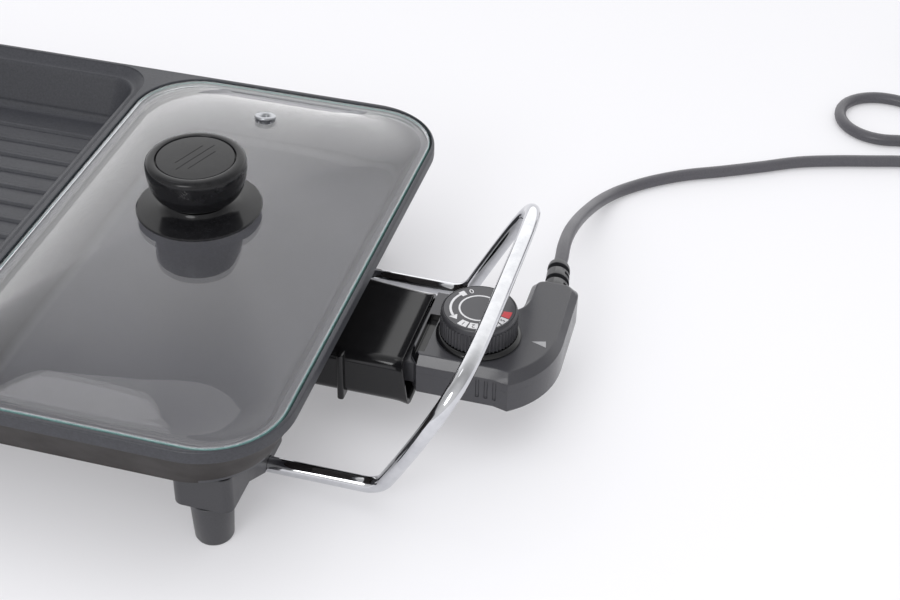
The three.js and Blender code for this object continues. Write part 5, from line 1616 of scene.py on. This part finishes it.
def smooth_route(points, spacing):
    """A centripetal curve through the points, the same as the solid's, at an even spacing."""
    steps = 24
    padded = [points[0] * 2 - points[1], *points, points[-1] * 2 - points[-2]]
    fine = []
    for p0, p1, p2, p3 in zip(padded, padded[1:], padded[2:], padded[3:]):
        d0, d1, d2 = ((b - a).length ** 0.5 for a, b in ((p0, p1), (p1, p2), (p2, p3)))
        t1 = ((p1 - p0) / d0 - (p2 - p0) / (d0 + d1) + (p2 - p1) / d1) * d1
        t2 = ((p2 - p1) / d1 - (p3 - p1) / (d1 + d2) + (p3 - p2) / d2) * d1
        for step in range(steps):
            t = step / steps
            fine.append(
                p1
                + t1 * t
                + (p2 * 3 - p1 * 3 - t1 * 2 - t2) * t * t
                + (p1 * 2 - p2 * 2 + t1 + t2) * t**3
            )
    fine.append(points[-1])
    even = [fine[0]]
    travelled = 0.0
    for a, b in zip(fine, fine[1:]):
        step = (b - a).length
        if travelled + step >= spacing:
            even.append(b)
            travelled = 0.0
        else:
            travelled += step
    even.append(points[-1])
    return even


def coil_centre(cord):
    """The coil's axis, at the height of its lower layer."""
    start = Vector(CORD_ROUTE[-1]) * MM
    outer = cord.coil + (cord.diameter + cord.spare) * TURNS_PER_LAYER
    return Vector((start.x + GAP + cord.diameter, start.y + outer, start.z))


def coil_points(cord):
    """Turns of the coil: in on the lower layer, up where it reverses, out on the upper one."""
    climb_turns, steps = 0.5, 48
    pitch = cord.diameter + cord.spare
    centre = coil_centre(cord)
    points = []
    for step in range(round(TURNS_PER_LAYER * 2 * steps) + 1):
        turns = step / steps
        beyond = turns - TURNS_PER_LAYER
        climb = min(max(beyond / climb_turns + 0.5, 0), 1)
        radius = cord.coil + pitch * abs(beyond)
        angle = turns * math.tau - QUARTER
        lift = climb * climb * (3 - climb * 2) * pitch
        points.append(centre + Vector((radius * math.cos(angle), radius * math.sin(angle), lift)))
    return points


class GRILL_OT_cord(bpy.types.Operator):
    """Lay the mains cord, its strain relief, its coil with a tie, and its plug"""

    bl_idname = "grill.cord"
    bl_label = "Mains cord"

    def execute(self, context):
        cord = context.scene.grill_cord
        route = [Vector(point) * MM for point in CORD_ROUTE]
        spacing, plug_lead = 4 * MM, 16.4 * MM
        run = [route[0], *smooth_route(route[1:-1], spacing), route[-1]]
        turns = coil_points(cord)
        end = turns[-1] - Vector((plug_lead, 0, 0))
        points = run + turns + [end]
        relief = self.strain_relief(context.scene.grill_control)
        tie = self.tie()
        plug = self.plug(end)
        placed = [point + Vector((TRAY_END, 0, 0)) for point in points]
        curve = round_curve("mains_cord", placed, cord.diameter / 2, 5)
        curve.materials.append(FINISH["cord_rubber"])
        lead = bpy.data.objects.new("mains_cord", curve)
        context.collection.objects.link(lead)
        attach(lead, "controller")
        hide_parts("power_cord", "cord_coil")
        return {"FINISHED"}

    def strain_relief(self, sizes):
        """The tapered, ringed sleeve that the cord leaves the housing through."""
        flange, start, tail = 50.5 * MM, 55.3 * MM, 80 * MM
        run = tail - start
        wide, taper = 6.6 * MM, 0.6 * MM
        outline = in_metres(((0, -2), (4.4, -2), (4.4, 0), (3.6, 0)), 0, flange)
        outline += [(3.6 * MM, start), (wide, start), (wide, start + 1.2 * MM)]
        for share in (0.36, 0.76):
            outline += in_metres(RELIEF_RING, wide - taper * share, start + run * share)
        outline += in_metres(((6, -1.8), (5.7, -0.6), (5, 0), (0, 0)), 0, tail)
        slots = []
        near, far, half_y, half_z = 3.5 * MM, 9 * MM, 7.5 * MM, 1.1 * MM
        for share in (0.16, 0.57):
            z = start + run * share
            for hand in (1, -1):
                slot = block(hand * near, hand * far, -half_y, half_y, z - half_z, z + half_z)
                slots.append(soften(slot, 0.4 * MM))
        body = turn(carved(lathe(outline, 64), slots), -QUARTER, "X")
        lean_start, lean = 54 * MM, 0.142
        for vert in body.verts:
            vert.co.x -= max(vert.co.y - lean_start, 0) * lean
        shift(body, sizes.relief_x, 0, sizes.split)
        return finish_piece(
            "cord_guard", body, "controller", "grey_rubber", ("soft_pvc",), ("strain_relief",)
        )

    def tie(self):
        """The strap round the coil."""
        low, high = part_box("cord_tie")
        left, right = low.x - TRAY_END, high.x - TRAY_END
        wall, past = 0.8 * MM, 10 * MM
        strap = soften(block(left, right, low.y, high.y, low.z, high.z), 1.2 * MM, 3)
        hole = block(
            left + wall, right - wall, low.y - past, high.y + past, low.z + wall, high.z - wall
        )
        strap = carved(strap, [soften(hole, 0.8 * MM, 3)])
        return finish_piece(
            "coil_tie", strap, "controller", "black_satin", ("nylon_satin",), ("cord_tie",)
        )

    def plug(self, end):
        """The two-pin plug, with its bores for the pins."""
        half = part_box("plug_body")[1].z - end.z
        stations = [(along * MM, y * MM, z * MM) for along, y, z in PLUG_NECK]
        stations += [(along * MM, y * MM, half - dip * MM) for along, y, dip in PLUG_BODY]
        roundness = 0.98
        rings = []
        for along, half_y, half_z in stations:
            rings.append((half_z, half_y, min(half_y, half_z) * roundness, -along, 0, 0))
        bore, deep, mouth, apart = 2.7 * MM, 50 * MM, 41.3 * MM, 9.5 * MM
        cuts = [shift(peg(bore, -deep, -mouth, 24), 0, hand * apart) for hand in (1, -1)]
        body = turn(carved(loft(rings, 10), cuts), QUARTER, "Y")
        shift(body, end.x, end.y, end.z)
        return finish_piece(
            "plug_shell", body, "controller", "black_satin", ("nylon_satin",), ("plug_body",)
        )


# Small metal parts kept from the model

# How the names of the pieces with each finish start
KEPT = {
    "plated_steel": (
        "bracket_screw",
        "element_clip",
        "socket_screw",
        "knob_screw",
        "thermostat_frame",
        "cover_screw",
        "dial_spindle",
        "probe_guide",
    ),
    "turned_brass": ("contact_sleeve", "contact_blade", "knob_insert"),
    "nickel_plate": ("terminal_pin", "plug_pin"),
    "silicone": ("knob_washer",),
    "pressed_ceramic": ("push_rod",),
}


class GRILL_OT_small_parts(bpy.types.Operator):
    """Give the model's own screws, clips, pins and contacts their finishes"""

    bl_idname = "grill.small_parts"
    bl_label = "Small metal parts"

    def execute(self, context):
        for name, node in frame["nodes"].items():
            for finish, starts in KEPT.items():
                if name.startswith(starts):
                    for place in node.material_slots:
                        place.material = FINISH[finish]
        return {"FINISHED"}


# Stage

# Each lamp's name, place, the point it faces, its diameter and its power in watts
LAMPS = (
    ("ceiling_fill", (0.1, -0.6, 2.3), (0.1, -0.4, 0.0), 3.2, 31),
    ("round_softbox", (-0.60, 0.06, 1.72), (0.1, -0.1, 0.0), 0.42, 0.48),
    ("front_softbox", (-0.06, -1.45, 1.0), (0.25, 0.0, 0.0), 0.8, 7),
)
# Brightness round the grill, from the camera's side (0) over the zenith to the far wall (1)
SKY_STOPS = ((0, 0.85), (0.18, 0.75), (0.38, 0.48), (0.5, 0.52), (0.67, 0.75), (0.8, 1.3), (1, 1.7))
FAR_WALL = (-0.08, 0.997, 0.0)
# The camera that the photograph was taken from: focal length and film width in millimetres, its
# place from the tray's right end, its right-hand side and the way it looks
CAMERA_LENS, CAMERA_FILM = 65.63, 36
CAMERA_PLACE = (0.2002, -0.617, 0.5567)
CAMERA_RIGHT = (0.96384, 0.26572, 0.02026)
CAMERA_AHEAD = (-0.19914, 0.76869, -0.60783)


class GRILL_OT_stage(bpy.types.Operator):
    """Set out the floor, the lights and the camera"""

    bl_idname = "grill.stage"
    bl_label = "Stage"

    def execute(self, context):
        self.floor(context.scene.grill_stage)
        self.sky()
        lamps = {lamp[0]: self.lamp(*lamp) for lamp in LAMPS}
        # The fill lightens the shadows and isn't seen as a glint
        lamps["ceiling_fill"].visible_glossy = False
        self.camera()
        return {"FINISHED"}

    def floor(self, colours):
        """Backlit opal acrylic: plain, matt, gives off a little light of its own."""
        tree = blank_material("opal_acrylic")
        sheet = add_node(tree, "ShaderNodeBsdfDiffuse", {"Color": colours.floor})
        glow = add_node(
            tree, "ShaderNodeEmission", {"Color": srgb("#fdfcff"), "Strength": colours.glow}
        )
        whole = add_node(
            tree,
            "ShaderNodeAddShader",
            links={0: sheet.outputs["BSDF"], 1: glow.outputs["Emission"]},
        )
        add_node(tree, "ShaderNodeOutputMaterial", links={"Surface": whole.outputs["Shader"]})
        bm = bmesh.new()
        bmesh.ops.create_grid(bm, x_segments=2, y_segments=2, size=6)
        mesh = bpy.data.meshes.new("studio_floor")
        bm.to_mesh(mesh)
        bm.free()
        mesh.materials.append(FINISH["opal_acrylic"])
        floor = bpy.data.objects.new("studio_floor", mesh)
        bpy.context.collection.objects.link(floor)

    def sky(self):
        """A bright wall behind the grill that fades softly overhead and towards the camera."""
        world = bpy.data.worlds.new("soft_studio")
        bpy.context.scene.world = world
        world.use_nodes = True
        tree = world.node_tree
        tree.nodes.clear()
        ray = add_node(tree, "ShaderNodeTexCoord").outputs["Object"]
        facing = add_node(
            tree, "ShaderNodeVectorMath", {"operation": "DOT_PRODUCT", 1: FAR_WALL}, {0: ray}
        ).outputs["Value"]
        share = add_node(
            tree, "ShaderNodeMapRange", {"From Min": -1.0, "From Max": 1.0}, {"Value": facing}
        ).outputs["Result"]
        brightest = SKY_STOPS[-1][1]
        levels = [(place, (level / brightest,) * 3 + (1,)) for place, level in SKY_STOPS]
        colour = ramp(tree, share, levels, "B_SPLINE")
        sky = add_node(tree, "ShaderNodeBackground", {"Strength": brightest}, {"Color": colour})
        add_node(tree, "ShaderNodeOutputWorld", links={"Surface": sky.outputs["Background"]})

    def lamp(self, name, place, target, size, power):
        """A round area lamp at a place, turned to a target."""
        data = bpy.data.lights.new(name, "AREA")
        data.shape = "DISK"
        data.size = size
        data.energy = power
        lamp = bpy.data.objects.new(name, data)
        bpy.context.collection.objects.link(lamp)
        lamp.location = place
        lamp.rotation_euler = (Vector(target) - Vector(place)).to_track_quat("-Z", "Y").to_euler()
        return lamp

    def camera(self):
        """The photograph's camera."""
        data = bpy.data.cameras.new("camera")
        data.lens = CAMERA_LENS
        data.sensor_width = CAMERA_FILM
        data.sensor_fit = "HORIZONTAL"
        data.clip_start = 0.01
        data.clip_end = 50
        view = bpy.data.objects.new("camera", data)
        bpy.context.collection.objects.link(view)
        right = Vector(CAMERA_RIGHT).normalized()
        ahead = Vector(CAMERA_AHEAD).normalized()
        up = right.cross(ahead).normalized()
        turned = Matrix((right, up, -ahead)).transposed().to_4x4()
        place = Vector((TRAY_END, 0, 0)) + Vector(CAMERA_PLACE)
        view.matrix_world = Matrix.Translation(place) @ turned
        bpy.context.scene.camera = view


# Panel and registration

OPERATORS = (
    GRILL_OT_stage,
    GRILL_OT_cord,
    GRILL_OT_tray,
    GRILL_OT_element,
    GRILL_OT_feet,
    GRILL_OT_handles,
    GRILL_OT_socket,
    GRILL_OT_lid,
    GRILL_OT_thermostat,
    GRILL_OT_dial,
    GRILL_OT_small_parts,
)
GROUPS = {
    "grill_tray": TraySizes,
    "grill_element": ElementSizes,
    "grill_bracket": BracketSizes,
    "grill_handle": HandleSizes,
    "grill_socket": SocketSizes,
    "grill_lid": LidSizes,
    "grill_control": ControlSizes,
    "grill_dial": DialSizes,
    "grill_cord": CordSizes,
    "grill_stage": StageColours,
}


class GRILL_PT_panel(bpy.types.Panel):
    """Lists the grill's pieces and the sizes that can be changed"""

    bl_label = "Table Grill"
    bl_idname = "GRILL_PT_panel"
    bl_space_type = "VIEW_3D"
    bl_region_type = "UI"
    bl_category = "Table Grill"

    def draw(self, context):
        for operator in OPERATORS:
            self.layout.operator(operator.bl_idname)
        for name, group in GROUPS.items():
            box = self.layout.box()
            box.label(text=name.removeprefix("grill_").capitalize())
            for size in group.__annotations__:
                box.prop(getattr(context.scene, name), size)


def register():
    """Makes the sizes, the operators and the panel known."""
    for cls in (*GROUPS.values(), *OPERATORS, GRILL_PT_panel):
        bpy.utils.register_class(cls)
    for name, group in GROUPS.items():
        setattr(bpy.types.Scene, name, PointerProperty(type=group))


def unregister():
    """Takes them back out, for a user who switches the add-on off."""
    for name in GROUPS:
        delattr(bpy.types.Scene, name)
    for cls in reversed((*GROUPS.values(), *OPERATORS, GRILL_PT_panel)):
        bpy.utils.unregister_class(cls)


def main():
    """Builds everything: the finishes, the pieces, the floor, the lights and the camera."""
    register()
    bpy.context.scene.view_settings.view_transform = "Standard"
    make_finishes()
    for operator in OPERATORS:
        group, name = operator.bl_idname.split(".")
        getattr(getattr(bpy.ops, group), name)()
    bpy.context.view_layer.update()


if __name__ == "__main__":
    main()
